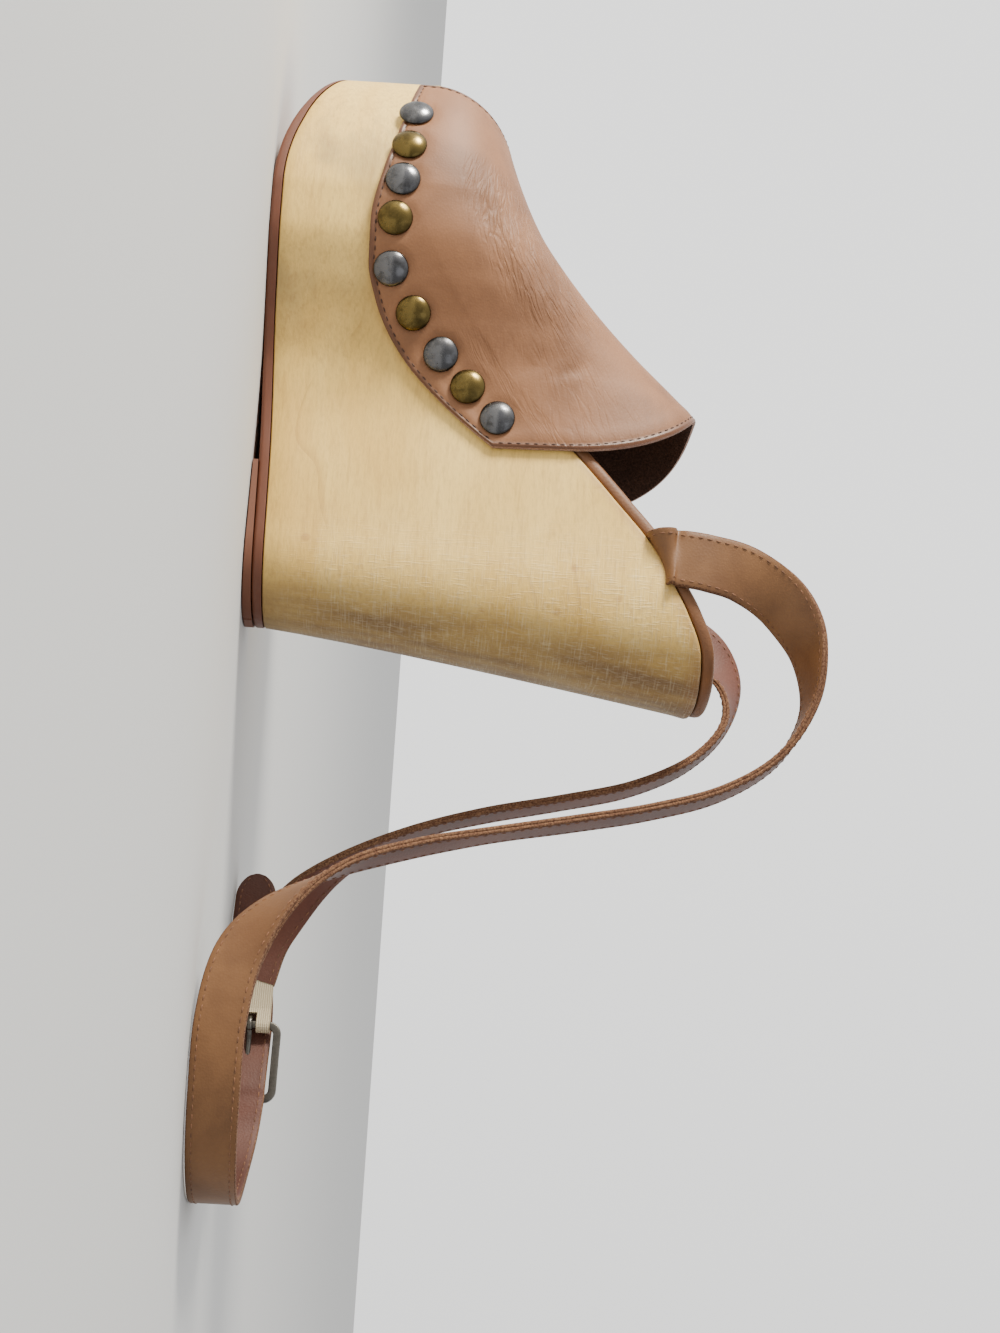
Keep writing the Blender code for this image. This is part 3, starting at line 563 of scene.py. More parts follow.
def wood_material():
    """Pale wood with fibres, growth lines, stains at the ball, small knots, tool marks at the heel, and
    painted shade with some darker end grain on the heel's back.
    """
    n = Nodes("wood_look")
    fibre = n.noise((60.0, 700.0, 700.0), 5.0, 0.6)
    mottle = n.noise((14.0, 34.0, 34.0), 4.0, 0.55, 0.6)
    swell = n.noise((5.5, 13.0, 13.0), 2.0, 0.4, 0.3)
    grit = n.noise((330.0, 1100.0, 1100.0), 3.0, 0.6)
    heel_shade_streak = n.noise((150.0, 150.0, 7.0), 3.0, 0.5)
    growth = n.ramp(n.maths("FRACT", n.times(swell, 11.0)), 0.0, 0.10, 1.0, 0.0)
    stain = n.ramp(n.noise((26.0, 40.0, 40.0), 3.0, 0.5, 0.4), 0.44, 0.64)
    knots = n.times(n.ramp(n.cells(70.0), 0.07, 0.14, 1.0, 0.0), n.ramp(n.noise(30.0, 1.0), 0.47, 0.53))
    level_strokes = n.ramp(n.noise((110.0, 110.0, 2000.0), 2.0), 0.50, 0.72)
    upright_strokes = n.ramp(n.noise((2000.0, 2000.0, 90.0), 2.0), 0.50, 0.72)
    hatch = n.times(n.value("hatch"), n.maths("ADD", level_strokes, upright_strokes))
    base = n.mix(n.ramp(mottle, 0.3, 0.72), colour(234, 198, 112), colour(216, 176, 90))
    base = n.lay(base, colour(158, 134, 88), n.times(stain, n.value("stain")), 0.55)
    base = n.lay(base, colour(160, 118, 60), n.ramp(fibre, 0.45, 0.75), 0.30)
    base = n.lay(base, colour(136, 92, 44), n.times(growth, n.ramp(mottle, 0.42, 0.62)), 0.25)
    base = n.lay(base, colour(170, 130, 72), n.ramp(grit, 0.42, 0.70), 0.22)
    base = n.lay(base, colour(160, 112, 62), knots, 0.40)
    # Painted shade on the heel's back, where the wood faces the heel end, partly darker end grain, streaked
    # by noise
    base = n.lay(base, colour(96, 70, 50), n.value("back"), n.ramp(heel_shade_streak, 0.3, 0.7, 0.62, 0.88))
    base = n.lay(base, colour(134, 92, 52), n.value("edge"), 0.45)
    base = n.lay(base, colour(238, 224, 190), hatch, 0.17)
    bump = n.height(fibre, 0.00012, 0.5)
    bump = n.height(grit, 0.00016, 0.6, bump)
    bump = n.height(hatch, 0.00014, 0.6, bump)
    return n.finish(Base_Color=base, Roughness=n.ramp(mottle, 0.2, 0.8, 0.50, 0.62), Normal=bump)


def fold_height(n):
    """Height of the fine wrinkles: long flat cells, in coordinates along and across them."""
    run = n.times(n.value("fold_run"), 95.0)
    across = n.times(n.value("fold_across"), 620.0)
    place = n.wander(n.node("CombineXYZ", X=run, Y=across).outputs["Vector"], 0.7, 1.6)
    cells = n.ramp(n.cells(1.0, "DISTANCE_TO_EDGE", place), 0.0, 0.26)
    soft = n.node("TexNoise", Vector=place, Scale=1.1, Detail=3.0).outputs["Fac"]
    return n.maths("ADD", n.times(cells, 0.45), n.times(soft, 0.9))


def leather_material(name, light, dark, rough, pores, edge=None):
    """Grain side of leather. With an edge colour it is the vamp's, with wrinkles that have painted shade in
    their troughs, and pressed edges.
    """
    n = Nodes(name)
    cloud = n.noise((26.0, 34.0, 34.0), 4.0, 0.6, 0.4)
    grain = n.cells(1150.0)
    base = n.mix(n.ramp(cloud, 0.3, 0.72), light, dark)
    base = n.lay(base, dark, n.ramp(grain, 0.35, 0.75), 0.10)
    bump = n.height(grain, 0.00010, pores)
    bump = n.height(n.noise(900.0, 3.0), 0.00006, pores, bump)
    if edge is not None:
        mask = n.value("crease")
        folds = fold_height(n)
        bump = n.height(n.times(folds, mask), 0.00055, 0.75, bump)
        # Painted shade in the troughs of the wrinkles
        base = n.lay(base, dark, n.times(n.ramp(folds, 0.75, 0.35), mask), 0.28)
        base = n.mix(n.value("edge"), base, edge)
        rough = n.ramp(n.value("edge"), 0.0, 1.0, rough, rough * 0.7)
    return n.finish(Base_Color=base, Roughness=rough, Normal=bump, Specular_IOR_Level=0.4)


def suede_material(name, light, dark):
    """Cut edge or lining: rough, with short fibres."""
    n = Nodes(name)
    fuzz = n.noise(1400.0, 4.0, 0.7)
    base = n.mix(n.ramp(fuzz, 0.35, 0.68), dark, light)
    base = n.lay(base, dark, n.ramp(n.noise(70.0, 3.0), 0.4, 0.7), 0.35)
    bump = n.height(fuzz, 0.00035, 0.7)
    return n.finish(Base_Color=base, Roughness=0.88, Normal=bump, Specular_IOR_Level=0.25)


def sole_material():
    """Smooth sole leather, scuffed and pitted below the ball."""
    n = Nodes("sole_look")
    worn = n.value("worn")
    fleck = n.noise((220.0, 420.0, 420.0), 5.0, 0.7)
    ragged = n.wander(n.place, 700.0, 0.0022)
    pits = n.times(n.ramp(n.cells(105.0, place=ragged), 0.08, 0.19, 1.0, 0.0),
                   n.ramp(n.noise(62.0, 2.0), 0.47, 0.53))
    specks = n.times(n.ramp(n.cells(330.0, place=ragged), 0.10, 0.22, 1.0, 0.0),
                     n.ramp(n.noise(120.0, 2.0), 0.50, 0.56, 0.0, 0.7))
    holes = n.times(n.maths("MAXIMUM", pits, specks), worn)
    base = n.mix(n.ramp(n.noise(30.0, 5.0, 0.6, 0.5), 0.3, 0.7), colour(168, 98, 54), colour(142, 80, 44))
    base = n.lay(base, colour(128, 84, 54), n.times(worn, n.ramp(fleck, 0.38, 0.66)), 0.75)
    base = n.mix(holes, base, colour(58, 34, 24))
    base = n.mix(n.value("edge"), base, colour(94, 50, 30))
    bump = n.height(holes, 0.0009, 1.0)
    bump = n.height(fleck, 0.0001, 0.4, bump)
    return n.finish(Base_Color=base, Roughness=n.ramp(fleck, 0.3, 0.7, 0.42, 0.6), Normal=bump)


def rubber_material():
    n = Nodes("rubber_look")
    base = n.mix(n.ramp(n.noise(60.0, 4.0), 0.3, 0.7), colour(146, 98, 66), colour(122, 80, 52))
    # Painted shade in the grooves between the ribs
    base = n.mix(n.value("groove"), base, colour(84, 52, 36))
    base = n.mix(n.value("edge"), base, colour(104, 62, 42))
    return n.finish(Base_Color=base, Roughness=0.7, Normal=n.height(n.noise(500.0, 3.0), 0.00008, 0.5))


def metal_material(name, bright, dull, rough):
    """Aged metal: dull patches, a dull rim and small dents."""
    n = Nodes(name)
    patina = n.noise(230.0, 4.0, 0.65)
    base = n.mix(n.times(n.ramp(patina, 0.40, 0.72), 0.8), (*bright, 1.0), (*dull, 1.0))
    base = n.lay(base, (*dull, 1.0), n.value("rim"), 0.75)
    return n.finish(Base_Color=base, Metallic=1.0, Roughness=n.ramp(patina, 0.3, 0.75, rough, rough + 0.2),
                    Normal=n.height(n.noise(900.0, 3.0), 0.00005, 0.35))


def thread_material(name, tint):
    n = Nodes(name)
    shade = (*(0.5 * part for part in tint[:3]), 1.0)
    return n.finish(Base_Color=n.mix(n.ramp(n.noise(300.0, 2.0), 0.35, 0.7), tint, shade), Roughness=0.7)


def elastic_material():
    n = Nodes("elastic_look")
    weave = n.node("TexWave", {"bands_direction": "Z"}, Vector=n.place, Scale=420.0,
                   Distortion=1.0).outputs["Fac"]
    base = n.mix(weave, colour(214, 200, 170), colour(176, 158, 126))
    return n.finish(Base_Color=base, Roughness=0.9, Normal=n.height(weave, 0.0003, 0.6))


# Sole unit
def make_wedge(material):
    shape = Shape()
    rows = []
    for level, rise, inset, edge in WEDGE_RINGS:
        points = ring(level, lambda x, px: wood_bottom(x) + rise + level * (
            footbed(x + back_shift(x, 1.0)) - wood_bottom(x)), inset)
        # back: where the wood faces the heel end, for its painted shade with some darker end grain
        rows.append([shape.add(
            p, back=smooth(*SHADED_BACK_FACING, inward_of(points, i).x), edge=edge, stain=window(p.x, *STAIN_X),
            hatch=smooth(*HATCH_X, p.x) * smooth(*HATCH_Z, p.z)) for i, p in enumerate(points)])
    shape.block(rows)
    build_piece("wedge_look", shape, [material], ["wedge"])


def make_outsole(material):
    shape = Shape()
    rows = []
    for share, inset, edge in OUTSOLE_RINGS:
        points = ring(0.0, lambda x, px: underside(x) + share * leather_thickness(x), inset)
        rows.append([shape.add(p, edge=edge, worn=(1 - edge) * window(p.x, *WORN_X)) for p in points])
    shape.block(rows)
    build_piece("outsole_look", shape, [material], ["outsole"])


def make_heel_lift(material):
    """Rubber top piece whose underside has ribs across, with painted shade in the grooves between them,
    fading into a smooth rim.
    """
    shape = Shape()
    rows, top = [], []
    for step in range(LIFT_STEPS + 1):
        x = LIFT_LENGTH * step / LIFT_STEPS
        wide = max(x, LIFT_MIN_X)
        row = []
        for share in LIFT_SHARES:
            y = share * half_width(wide, 1 if share > 0 else -1, 0.0)
            inside = min(half_width(wide, 1, 0.0) - abs(y), x, LIFT_LENGTH + 2 - x)
            wave = 0.5 - 0.5 * math.cos(2 * math.pi * x / RIB_PITCH)
            cut = smooth(0.35, 0.75, wave) * smooth(1.2, 2.4, inside) * smooth(1.5, 9.0, x)
            lift = RIB_DEPTH * cut + LIFT_ROUND * smooth(1.0, 0.0, inside)
            # The groove value darkens the rubber between the ribs: painted shade
            row.append(shape.add((x, y, lift), groove=cut * 0.8, edge=smooth(2.2, 0.6, inside)))
        rows.append(row)
    shape.skin(rows, False)
    for row in rows:
        ends = [shape.points[row[0]], shape.points[row[-1]]]
        top.append([shape.add((p.x, p.y, underside(p.x) - GAP * 0.5), edge=1.0) for p in ends])
    for i in range(LIFT_STEPS):
        shape.face((rows[i][0], rows[i + 1][0], top[i + 1][0], top[i][0]))
        shape.face((rows[i][-1], top[i][1], top[i + 1][1], rows[i + 1][-1]))
        shape.face((top[i][0], top[i + 1][0], top[i + 1][1], top[i][1]))
    for i in (0, LIFT_STEPS):
        shape.face([*rows[i], top[i][1], top[i][0]])
    build_piece("heel_lift_look", shape, [material], ["heel_lift"], sharp=30.0)


def insole_thickness(x):
    share = min(1.0, max(0.0, (x - REAR_MEDIAL_X) / (TOE_ROUND - REAR_MEDIAL_X)))
    return INSOLE_THICKNESS + (INSOLE_TOE_THICKNESS - INSOLE_THICKNESS) * share


def make_insole(material):
    shape = Shape()
    rows = []
    for share, inset in INSOLE_RINGS:
        points = ring(1.0, lambda x, px: footbed(px) + footbed_slope(px) * (
            SLOPED_GAP + share * insole_thickness(px)), INSOLE_INSET + inset)
        rows.append([shape.add(p) for p in points])
    shape.block(rows)
    build_piece("insole_look", shape, [material], ["insole"])


# Upper
def wood_side(x, z, side, stand_off):
    def plain(place):
        low = wood_bottom(place)
        level = (z - low) / (footbed(place) - low)
        return half_width(place, side, min(1.0, max(0.0, level)))
    lean = plain(x + 0.5) - plain(x - 0.5)
    return plain(x) + stand_off * math.hypot(1.0, lean)


def rib_x(share, side, rise):
    front_base = FRONT_MEDIAL_X if side > 0 else FRONT_LATERAL_X
    rear_base = REAR_MEDIAL_X if side > 0 else REAR_LATERAL_X
    front = front_base + (FRONT_CREST_X - front_base) * rise**FRONT_LEAN_POWER
    rear = rear_base + (REAR_CREST_X - rear_base) * rise**REAR_LEAN_POWER
    return front + (rear - front) * share


def upper_point(share, turn):
    """Outside of the upper: share runs from front to rear, turn from the inner lower edge (0) over
    the footbed's height (1) and the crest (2) to the outer side's (3) and its lower edge (4)."""
    side = 1 if turn <= 2 else -1
    value = turn if side > 0 else 4 - turn
    if value < 1:
        x = rib_x(share, side, FOOTBED_RISE * value)
        low = read(EDGE, EDGE_COLUMNS, "lower", x + (0.0 if side > 0 else LATERAL_EDGE_SHIFT))
        z = low + (footbed(x) - low) * value
        return Vector((x, side * wood_side(x, z, side, UPPER_OUT), z))
    angle = (value - 1) * math.pi / 2
    up = math.sin(angle) ** (2 / ARCH_POWER)
    across = max(0.0, math.cos(angle)) ** (2 / ARCH_POWER)
    x = rib_x(share, side, FOOTBED_RISE + (1 - FOOTBED_RISE) * up)
    base = footbed(x)
    crest = read(CREST, LINE_COLUMNS, "z", x)
    wide = wood_side(x, base, side, UPPER_OUT)
    middle = (wood_side(x, base, 1, 0) - wood_side(x, base, -1, 0)) / 2 - CREST_SHIFT
    return Vector((x, middle + (side * wide - middle) * across, base + (crest - base) * up))


def inward(share, turn):
    """Unit vector into the upper from its outside."""
    along = (upper_point(min(1.0, share + SHARE_STEP), turn)
             - upper_point(max(0.0, share - SHARE_STEP), turn))
    over = (upper_point(share, min(4.0, turn + TURN_STEP))
            - upper_point(share, max(0.0, turn - TURN_STEP)))
    return over.cross(along).normalized()


def spread(length, near, far):
    """Steps from 0 to length, near apart at both ends and far apart in between."""
    steps, place = [0.0], 0.0
    while place < length / 2:
        place += min(far, near + SPREAD_GROWTH * place)
        steps.append(min(place, length / 2))
    return steps + [length - s for s in reversed(steps[:-1])]


def crease_depth(side, along, over):
    """Depth in mm of the troughs, with a low ridge beside each one."""
    depth = 0.0
    for crease in CREASES:
        own = dict(zip(CREASE_COLUMNS, crease))
        if own["side"] != side:
            continue
        lean, reach, width = math.radians(own["lean"]), own["reach"], own["width"]
        du, dv = along - own["along"], over - own["over"]
        run = du * math.cos(lean) + dv * math.sin(lean)
        off = dv * math.cos(lean) - du * math.sin(lean)
        off += CREASE_WANDER * math.sin(run / CREASE_WAVE + own["over"])
        if abs(run) > 2 * reach or abs(off) > 4 * width:
            continue
        trough = math.exp(-((off / width) ** 2))
        ridge = math.exp(-(((off - RIDGE_OFFSET * width) / width) ** 2))
        fade = math.exp(-CREASE_FADE * (run / reach) ** 2)
        depth += own["depth"] * fade * (trough - RIDGE_SHARE * ridge)
    return depth


def side_height(share, turn):
    """Length of a side between its lower edge and the footbed's height."""
    low, high = (0.0, 1.0) if turn <= 2 else (4.0, 3.0)
    return (upper_point(share, high) - upper_point(share, low)).length


def upper_push(point, share, turn, length, studs):
    """Depth the leather is pressed in at a point, and the point's places along, over and from the edge."""
    rise = min(turn, 4 - turn) - 1
    height = side_height(share, turn)
    along, over = share * length, rise * (ARCH_HALF if rise > 0 else height)
    edge = min(along, length - along, (rise + 1) * height if rise < 0 else length)
    near = min((point - centre).length for centre in studs)
    push = SEAM_DEPTH * math.exp(-((edge - STITCH_MARGIN) / SEAM_WIDTH) ** 2)
    push += EDGE_ROUND * smooth(0.9, 0.0, edge)
    push -= RIM_SWELL * window(edge, *RIM_ZONE)
    push += DIMPLE_DEPTH * smooth(*DIMPLE_ZONE, near)
    clear = smooth(*CLEAR_OF_EDGE, edge) * smooth(*CLEAR_OF_STUD, near)
    push += crease_depth(1 if turn <= 2 else -1, along, over) * clear
    return push, along, over, edge


def make_upper(outside, lining, raw, studs):
    """Leather vamp with turned creases, a pressed line under its stitches and dimples below its studs."""
    length = (upper_point(1.0, 1.0) - upper_point(0.0, 1.0)).length
    shares = [s / length for s in spread(length, 0.35, 1.3)]
    turns = [t / TURN_LENGTH for t in spread(4 * TURN_LENGTH, 0.9, 1.7)]
    lean_run, lean_across = math.cos(CREASE_LEAN) * MM, math.sin(CREASE_LEAN) * MM
    shape = Shape()
    outer, inner = [], []
    for share in shares:
        out_row, in_row = [], []
        for turn in turns:
            point, normal = upper_point(share, turn), inward(share, turn)
            push, along, over, edge = upper_push(point, share, turn, length, studs)
            flex = window(along, *FOLD_ALONG) * window(over, *FOLD_OVER)
            rear_flex = REAR_FOLD * smooth(*REAR_FOLD_ALONG, along) * window(over, *REAR_FOLD_OVER)
            # crease marks the wrinkled zones, which get bumps and painted shade in their troughs
            out_row.append(shape.add(
                point + normal * push, crease=max(flex, rear_flex),
                edge=0.75 * smooth(STITCH_MARGIN + 0.2, STITCH_MARGIN - 0.5, edge),
                fold_run=along * lean_run - over * lean_across,
                fold_across=along * lean_across + over * lean_run))
            in_row.append(shape.add(point + normal * (WALL - 0.15 * smooth(1.2, 0.0, edge))))
        outer.append(out_row)
        inner.append(in_row)
    shape.skin(outer, False, 0)
    shape.skin(inner, False, 1)
    for i in range(len(shares) - 1):
        for j in (0, len(turns) - 1):
            shape.face((outer[i][j], outer[i + 1][j], inner[i + 1][j], inner[i][j]), 2)
    for i in (0, len(shares) - 1):
        for j in range(len(turns) - 1):
            shape.face((outer[i][j], outer[i][j + 1], inner[i][j + 1], inner[i][j]), 2)
    build_piece("upper_look", shape, [outside, lining, raw], ["upper"], sharp=55.0)


# Stitches and studs
def add_stitch(shape, centre, run, out, width=STITCH_WIDTH):
    """One stitch: a short rounded thread, half sunk in the leather."""
    side = run.cross(out).normalized()
    rings = []
    for share, size in STITCH_RINGS:
        middle = centre + run * (share * STITCH_LENGTH / 2) - out * (STITCH_DIP * share * share)
        rings.append([shape.add(middle + (side * c + out * s) * width / 2 * size) for c, s in circle(6)])
    shape.tube(rings)


def stitch_places(points):
    """Places of the stitches along a polyline, each with its direction and the polyline's row."""
    lengths = [0.0]
    for a, b in zip(points, points[1:]):
        lengths.append(lengths[-1] + (b - a).length)
    count = max(1, round(lengths[-1] / STITCH_PITCH))
    row, out = 0, []
    for i in range(count):
        goal = lengths[-1] * (i + 0.5) / count
        while lengths[row + 1] < goal:
            row += 1
        a, b = points[row], points[row + 1]
        t = (goal - lengths[row]) / (lengths[row + 1] - lengths[row])
        out.append((a.lerp(b, t), (b - a).normalized(), row))
    return out


def make_upper_stitches(material, skin):
    """Thread along the lower, front and rear edges of the upper."""
    shape = Shape()
    paths = []
    steps = [i / SEAM_STEPS for i in range(SEAM_STEPS + 1)]
    for low, way in ((0.0, 1.0), (4.0, -1.0)):
        shares = [0.017 + 0.966 * step for step in steps]
        paths.append([upper_point(s, low + way * STITCH_MARGIN / side_height(s, low)) for s in shares])
    for start, step in ((0.0, 0.02), (1.0, -0.02)):
        line = []
        for turn in (0.10 + 3.80 * s for s in steps):
            edge, near = upper_point(start, turn), upper_point(start + step, turn)
            line.append(edge.lerp(near, STITCH_MARGIN / (near - edge).length))
        paths.append(line)
    for path in paths:
        for place in stitch_places(path):
            near, normal = skin.find_nearest(place[0])[:2]
            add_stitch(shape, near + normal * 0.08, place[1], normal)
    build_piece("upper_stitches", shape, [material], [])


def skin_of(name):
    piece = bpy.data.objects[name]
    return BVHTree.FromPolygons([v.co / MM + ORIGIN for v in piece.data.vertices],
                                [tuple(f.vertices) for f in piece.data.polygons])


def stud_place(x, side):
    """Centre of a stud's base on the upper's outside."""
    z = read(EDGE, EDGE_COLUMNS, "studs", x + (0.0 if side > 0 else LATERAL_EDGE_SHIFT))
    return Vector((x, side * wood_side(x, z, side, UPPER_OUT), z))


def stud_seat(node, side):
    """Middle of the CAD stud's flat base and the direction of its dome."""
    corners = [node.matrix_world @ v.co / MM + ORIGIN for v in node.data.vertices]
    middle = sum(corners, Vector()) / len(corners)
    rim = sorted(corners, key=lambda p: (p - middle).length)[-12:]
    flat = max(node.data.polygons, key=lambda f: f.area)
    axis = (node.matrix_world.to_3x3() @ flat.normal).normalized()
    if axis.y * side < 0:
        axis = -axis
    return middle + axis * (min(p.dot(axis) for p in rim) - middle.dot(axis)), axis


def make_studs(silver, brass):
    """Domed nail heads, silver and brass in turn, in the places of the CAD's own."""
    for word, material, first in (("silver", silver, 1), ("brass", brass, 2)):
        shape, names = Shape(), []
        for row, side, places in (("medial", 1, STUDS_MEDIAL), ("lateral", -1, STUDS_LATERAL)):
            for number in range(first, len(places) + 1, 2):
                names.append(f"stud_{row}_{number:02d}")
                base, axis = stud_seat(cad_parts[names[-1]], side)
                turn = UP.rotation_difference(axis).to_matrix()
                shape.tube([[shape.add(base + turn @ Vector((radius * c, radius * s, height)), rim=rim)
                             for c, s in circle(32)] for radius, height, rim in STUD_RINGS])
        build_piece("studs_" + word, shape, [material], names)


# Strap and buckle
def smooth_rows(rows, steps):
    rows = [Vector(r) for r in rows]
    ends = [2 * rows[0] - rows[1]] + rows + [2 * rows[-1] - rows[-2]]
    fine = []
    for i in range(1, len(ends) - 2):
        a, b, c, d = ends[i - 1:i + 3]
        for k in range(steps):
            t = k / steps
            fine.append(0.5 * (2 * b + (c - a) * t + (2 * a - 5 * b + 4 * c - d) * t * t
                               + (3 * b - a - 3 * c + d) * t**3))
    return fine + [rows[-1]]


def run_at(points, i):
    """Direction of a polyline at its point i."""
    return (points[min(i + 1, len(points) - 1)] - points[max(i - 1, 0)]).normalized()


def in_buckle(along, outward, z):
    point = BUCKLE_CENTRE + ALONG * along + OUTWARD * outward
    return Vector((point.x, point.y, z))


def strap_rows(strand, last_stretch):
    rows = [list(row) for row in strand]
    for along, outward, z, width in last_stretch:
        rows.append([*in_buckle(along, outward, z), 0.0, 0.0, math.copysign(1.0, rows[-1][5]), width])
    return rows


def make_strap(node, rows, materials, faces, tip, thread):
    """Two layers of leather sewn back to back, grooved at the edges. faces says which material lies in
    front and which behind."""
    fine = smooth_rows(rows, 10)
    centres = [Vector(r[:3]) for r in fine]
    left = [0.0]
    for a, b in zip(reversed(centres[1:]), reversed(centres[:-1])):
        left.append(left[-1] + (a - b).length)
    left.reverse()
    section = [*STRAP_FACE, (STRAP_GROOVE, 0.0), *((-w, -t) for w, t in STRAP_FACE), (-STRAP_GROOVE, 0.0)]
    count = len(section)
    slots = [2] * count
    for start, slot in ((2, faces[0]), (2 + count // 2, faces[1])):
        slots[start:start + 6] = [slot] * 6
    half_t = STRAP_THICKNESS / 2
    shape = Shape()
    rings, frames = [], []
    for i, row in enumerate(fine):
        run = run_at(centres, i)
        across = Vector(row[3:6])
        across = (across - run * across.dot(run)).normalized()
        face = run.cross(across).normalized()
        half_w = row[6] / 2
        if tip and left[i] < TIP_LENGTH:
            half_w *= max(0.06, math.sqrt(1 - ((TIP_LENGTH - left[i]) / TIP_LENGTH) ** 2))
        wobble = 0.09 * math.sin(left[i] * 0.11) + 0.05 * math.sin(left[i] * 0.31 + 1.0)
        frames.append((centres[i], across, face, half_w, wobble))
        rings.append([shape.add(centres[i] + across * (w * half_w)
                                + face * (t * half_t + wobble * (1 - w * w))) for w, t in section])
    for a, b in zip(rings, rings[1:]):
        for k in range(count):
            j = (k + 1) % count
            shape.face((a[k], a[j], b[j], b[k]), slots[k])
    shape.face(rings[0], 2)
    shape.face(rings[-1], 2)
    build_piece(node + "_look", shape, materials, [node], sharp=70.0)

    sewn = Shape()
    frames = [f for f in frames if f[3] - STRAP_MARGIN >= STRAP_MIN_REACH]
    for edge in (1, -1):
        for side in (1, -1):
            line = []
            for centre, across, face, half_w, wobble in frames:
                reach = half_w - STRAP_MARGIN
                bow = wobble * (1 - (reach / half_w) ** 2)
                line.append(centre + across * (edge * reach) + face * (side * (half_t - 0.05) + bow))
            for centre, run, row in stitch_places(line):
                out = frames[row][2] * side
                add_stitch(sewn, centre + out * 0.10, run, out, STITCH_WIDTH * 0.85)
    build_piece(node + "_look_stitches", sewn, [thread], [])


def make_buckle(metal):
    half_bar = BUCKLE_BAR / 2
    bar = BUCKLE_LENGTH / 2 - half_bar
    path = rounded_box(bar, BUCKLE_WIDTH / 2 - half_bar, BUCKLE_CORNER, BUCKLE_CORNER, 10)
    section = rounded_box(1.0, 1.0, 0.32, 0.38, 3)
    shape = Shape()
    rings = []
    for i, (along, across) in enumerate(path):
        run = Vector(path[(i + 1) % len(path)]) - Vector(path[i - 1])
        run.normalize()
        rings.append([shape.add(
            BUCKLE_CENTRE + ALONG * (along + run.y * u * half_bar) + OUTWARD * (v * BUCKLE_DEPTH / 2)
            + UP * (across - run.x * u * half_bar), rim=0.0) for u, v in section])
    shape.skin(rings + [rings[0]], True)
    build_piece("buckle_frame_look", shape, [metal], ["buckle_frame"])

    eye = half_bar + GAP + PRONG_RADIUS
    front = BUCKLE_DEPTH / 2 + GAP * 0.4 + PRONG_RADIUS
    turns = [math.radians(-110 + 260 * i / 11) for i in range(12)]
    route = [(bar + eye * math.cos(a), -eye * math.sin(a)) for a in turns]
    route += [(bar - 6.5, 0.4), (bar - 11.0, 1.2), (bar - 15.0, 2.6), (bar - 19.5, front + 0.6),
              (-bar + 1.0, front), (-bar - 1.0, front)]
    fine = smooth_rows([in_buckle(a, o, BUCKLE_CENTRE.z) for a, o in route], 5)
    sizes = [1.0] * (len(fine) - len(PRONG_TIP)) + list(PRONG_TIP)
    shape = Shape()
    rings = []
    for i, centre in enumerate(fine):
        side = run_at(fine, i).cross(UP).normalized()
        rings.append([shape.add(centre + (side * c + UP * s) * (PRONG_RADIUS * sizes[i]), rim=0.0)
                      for c, s in circle(16)])
    shape.tube(rings)
    build_piece("buckle_prong_look", shape, [metal], ["buckle_prong"])


# Studio
def make_camera():
    """The photo's own view of this shoe, turned on its side, with the frame centred on the shoe."""
    azimuth, elevation, roll = (math.radians(angle) for angle in CAMERA_ANGLES)
    back = Vector((math.sin(azimuth) * math.cos(elevation), -math.cos(azimuth) * math.cos(elevation),
                   math.sin(elevation)))
    right = Vector((math.cos(azimuth), math.sin(azimuth), 0.0))
    up = back.cross(right)
    across = right * math.cos(roll) + up * math.sin(roll)
    upward = up * math.cos(roll) - right * math.sin(roll)
    place = CAMERA_TARGET - ORIGIN + back * CAMERA_DISTANCE
    back = (back - (across * FRAME_ASIDE + upward * FRAME_DOWN) / LENS).normalized()
    across = (across - back * across.dot(back)).normalized()
    data = bpy.data.cameras.new("camera")
    data.lens = LENS
    camera = bpy.data.objects.new("camera", data)
    camera.matrix_world = Matrix.Translation(place * MM) @ Matrix(
        (across, back.cross(across), back)).transposed().to_4x4()
    bpy.context.scene.collection.objects.link(camera)
    bpy.context.scene.camera = camera


def make_light(name, place, aim, size, power, tint):
    """Round area light, with its places in metres."""
    data = bpy.data.lights.new(name, "AREA")
    data.shape = "DISK"
    data.size = size
    data.energy = power
    data.color = tint
    light = bpy.data.objects.new(name, data)
    light.location = Vector(place)
    light.rotation_euler = (Vector(place) - Vector(aim)).to_track_quat("Z", "Y").to_euler()
    bpy.context.scene.collection.objects.link(light)


def make_stage():
    """Pale floor below a studio that is brighter on one side, as beside a large window."""
    mesh = bpy.data.meshes.new("floor")
    corners = [(x * FLOOR_REACH, y * FLOOR_REACH, FLOOR_Z) for x, y in ((-1, -1), (1, -1), (1, 1), (-1, 1))]
    mesh.from_pydata(corners, [], [(0, 1, 2, 3)])
    floor = bpy.data.objects.new("floor", mesh)
    bpy.context.scene.collection.objects.link(floor)
    n = Nodes("floor")
    pale = (0.56, 0.56, 0.555, 1.0)
    mesh.materials.append(n.finish(Base_Color=pale, Roughness=0.95, Specular_IOR_Level=0.1))
    world = bpy.data.worlds.new("studio")
    world.use_nodes = True
    tree = world.node_tree
    facing = tree.nodes.new("ShaderNodeTexCoord").outputs["Generated"]
    share = tree.nodes.new("ShaderNodeVectorMath")
    share.operation = "DOT_PRODUCT"
    share.inputs[1].default_value = BRIGHT_SIDE.normalized()
    level = tree.nodes.new("ShaderNodeMapRange")
    for key, number in zip(("From Min", "From Max", "To Min", "To Max"), STUDIO_LEVELS):
        level.inputs[key].default_value = number
    tree.links.new(facing, share.inputs[0])
    tree.links.new(share.outputs["Value"], level.inputs["Value"])
    tree.links.new(level.outputs["Result"], tree.nodes["Background"].inputs["Strength"])
    tree.nodes["Background"].inputs["Color"].default_value = (1.0, 1.0, 0.99, 1.0)
    bpy.context.scene.world = world


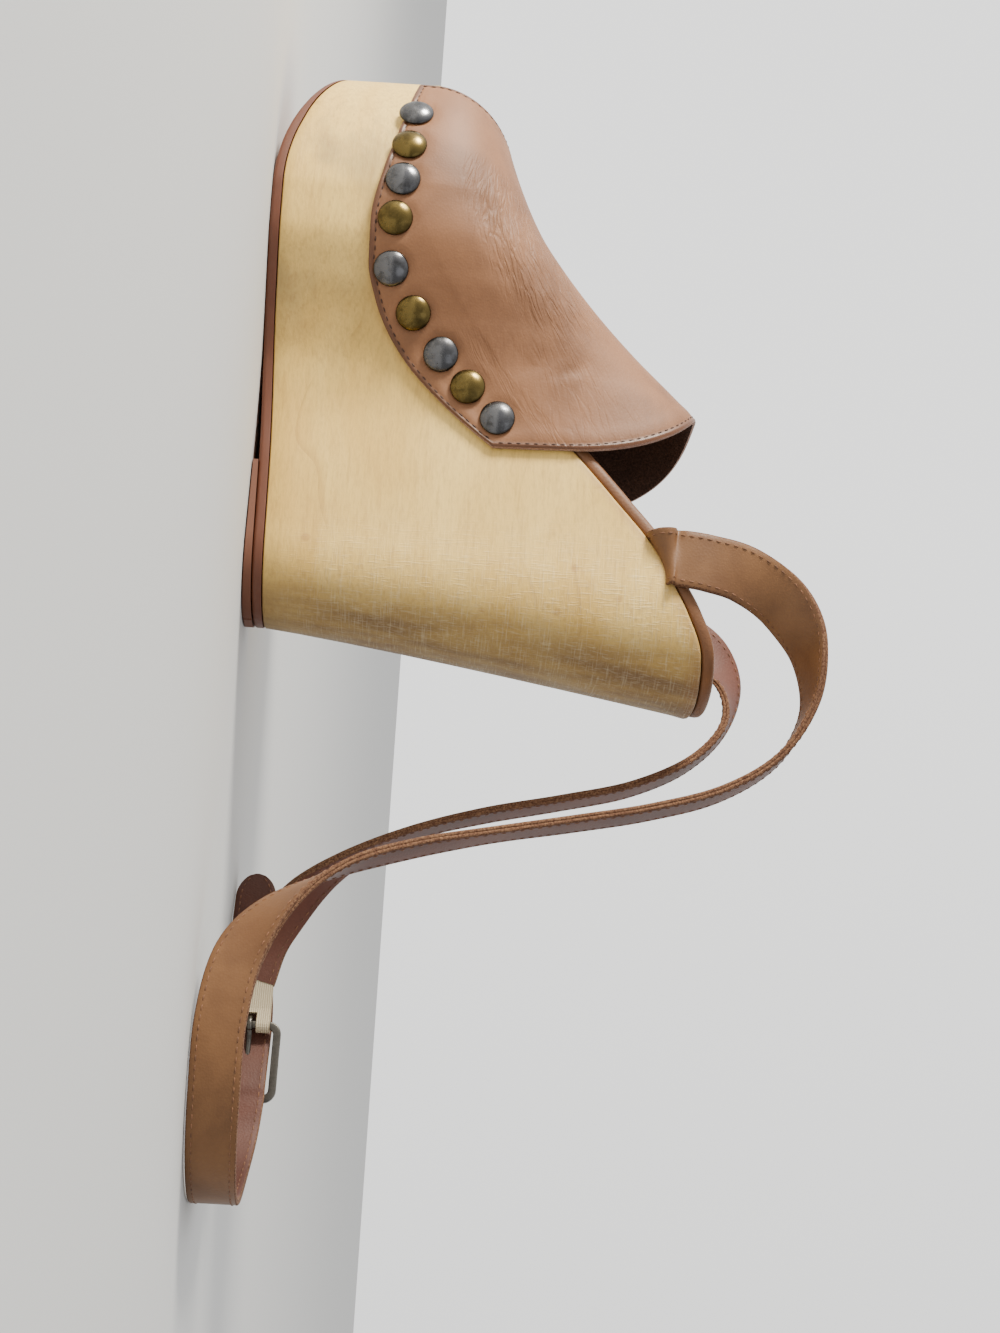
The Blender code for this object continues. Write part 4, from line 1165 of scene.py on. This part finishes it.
wood = wood_material()
vamp = leather_material("vamp_look", colour(138, 94, 62), colour(110, 72, 45), rough=0.58, pores=0.3,
                        edge=colour(82, 49, 31))
lining = suede_material("lining_look", colour(96, 70, 56), colour(58, 42, 34))
raw_vamp = suede_material("cut_edge_look", colour(176, 146, 132), colour(128, 98, 84))
grain = leather_material("strap_grain_look", colour(122, 84, 50), colour(98, 64, 36), rough=0.5, pores=0.3)
flesh = leather_material("strap_back_look", colour(98, 54, 38), colour(76, 40, 28), rough=0.6, pores=0.5)
raw_strap = suede_material("strap_edge_look", colour(132, 98, 72), colour(78, 48, 34))
sock = leather_material("sock_look", colour(126, 84, 50), colour(100, 64, 38), rough=0.55, pores=0.55)
sole = sole_material()
rubber = rubber_material()
silver = metal_material("silver_look", (0.13, 0.13, 0.137), (0.035, 0.034, 0.033), 0.18)
brass = metal_material("brass_look", (0.145, 0.103, 0.034), (0.04, 0.029, 0.011), 0.21)
gunmetal = metal_material("buckle_look", (0.13, 0.12, 0.105), (0.06, 0.055, 0.05), 0.3)
dark_thread = thread_material("dark_thread", colour(66, 38, 24))
tan_thread = thread_material("tan_thread", colour(128, 86, 58))

make_wedge(wood)
make_outsole(sole)
make_heel_lift(rubber)
make_insole(sock)
stud_places = [stud_place(x, 1) for x in STUDS_MEDIAL] + [stud_place(x, -1) for x in STUDS_LATERAL]
make_upper(vamp, lining, raw_vamp, stud_places)
make_upper_stitches(dark_thread, skin_of("upper_look"))
make_studs(silver, brass)
strap_looks = [grain, flesh, raw_strap]
make_strap("strap_long", strap_rows(STRAP_LONG, THREAD), strap_looks, (0, 1), True, tan_thread)
make_strap("strap_short", strap_rows(STRAP_SHORT, STUB), strap_looks, (1, 0), False, tan_thread)
make_buckle(gunmetal)
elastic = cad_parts["elastic_loop"]
elastic.data.materials.clear()
elastic.data.materials.append(elastic_material())

make_stage()
make_light("key", (1.08, 0.66, 0.50), aim=(0.05, 0.0, 0.08), size=0.40, power=44.0, tint=(1.0, 0.95, 0.84))
make_light("fill", (-0.5, 0.9, 0.7), aim=(0.0, 0.0, 0.06), size=0.9, power=1.5, tint=(0.95, 0.97, 1.0))
make_camera()
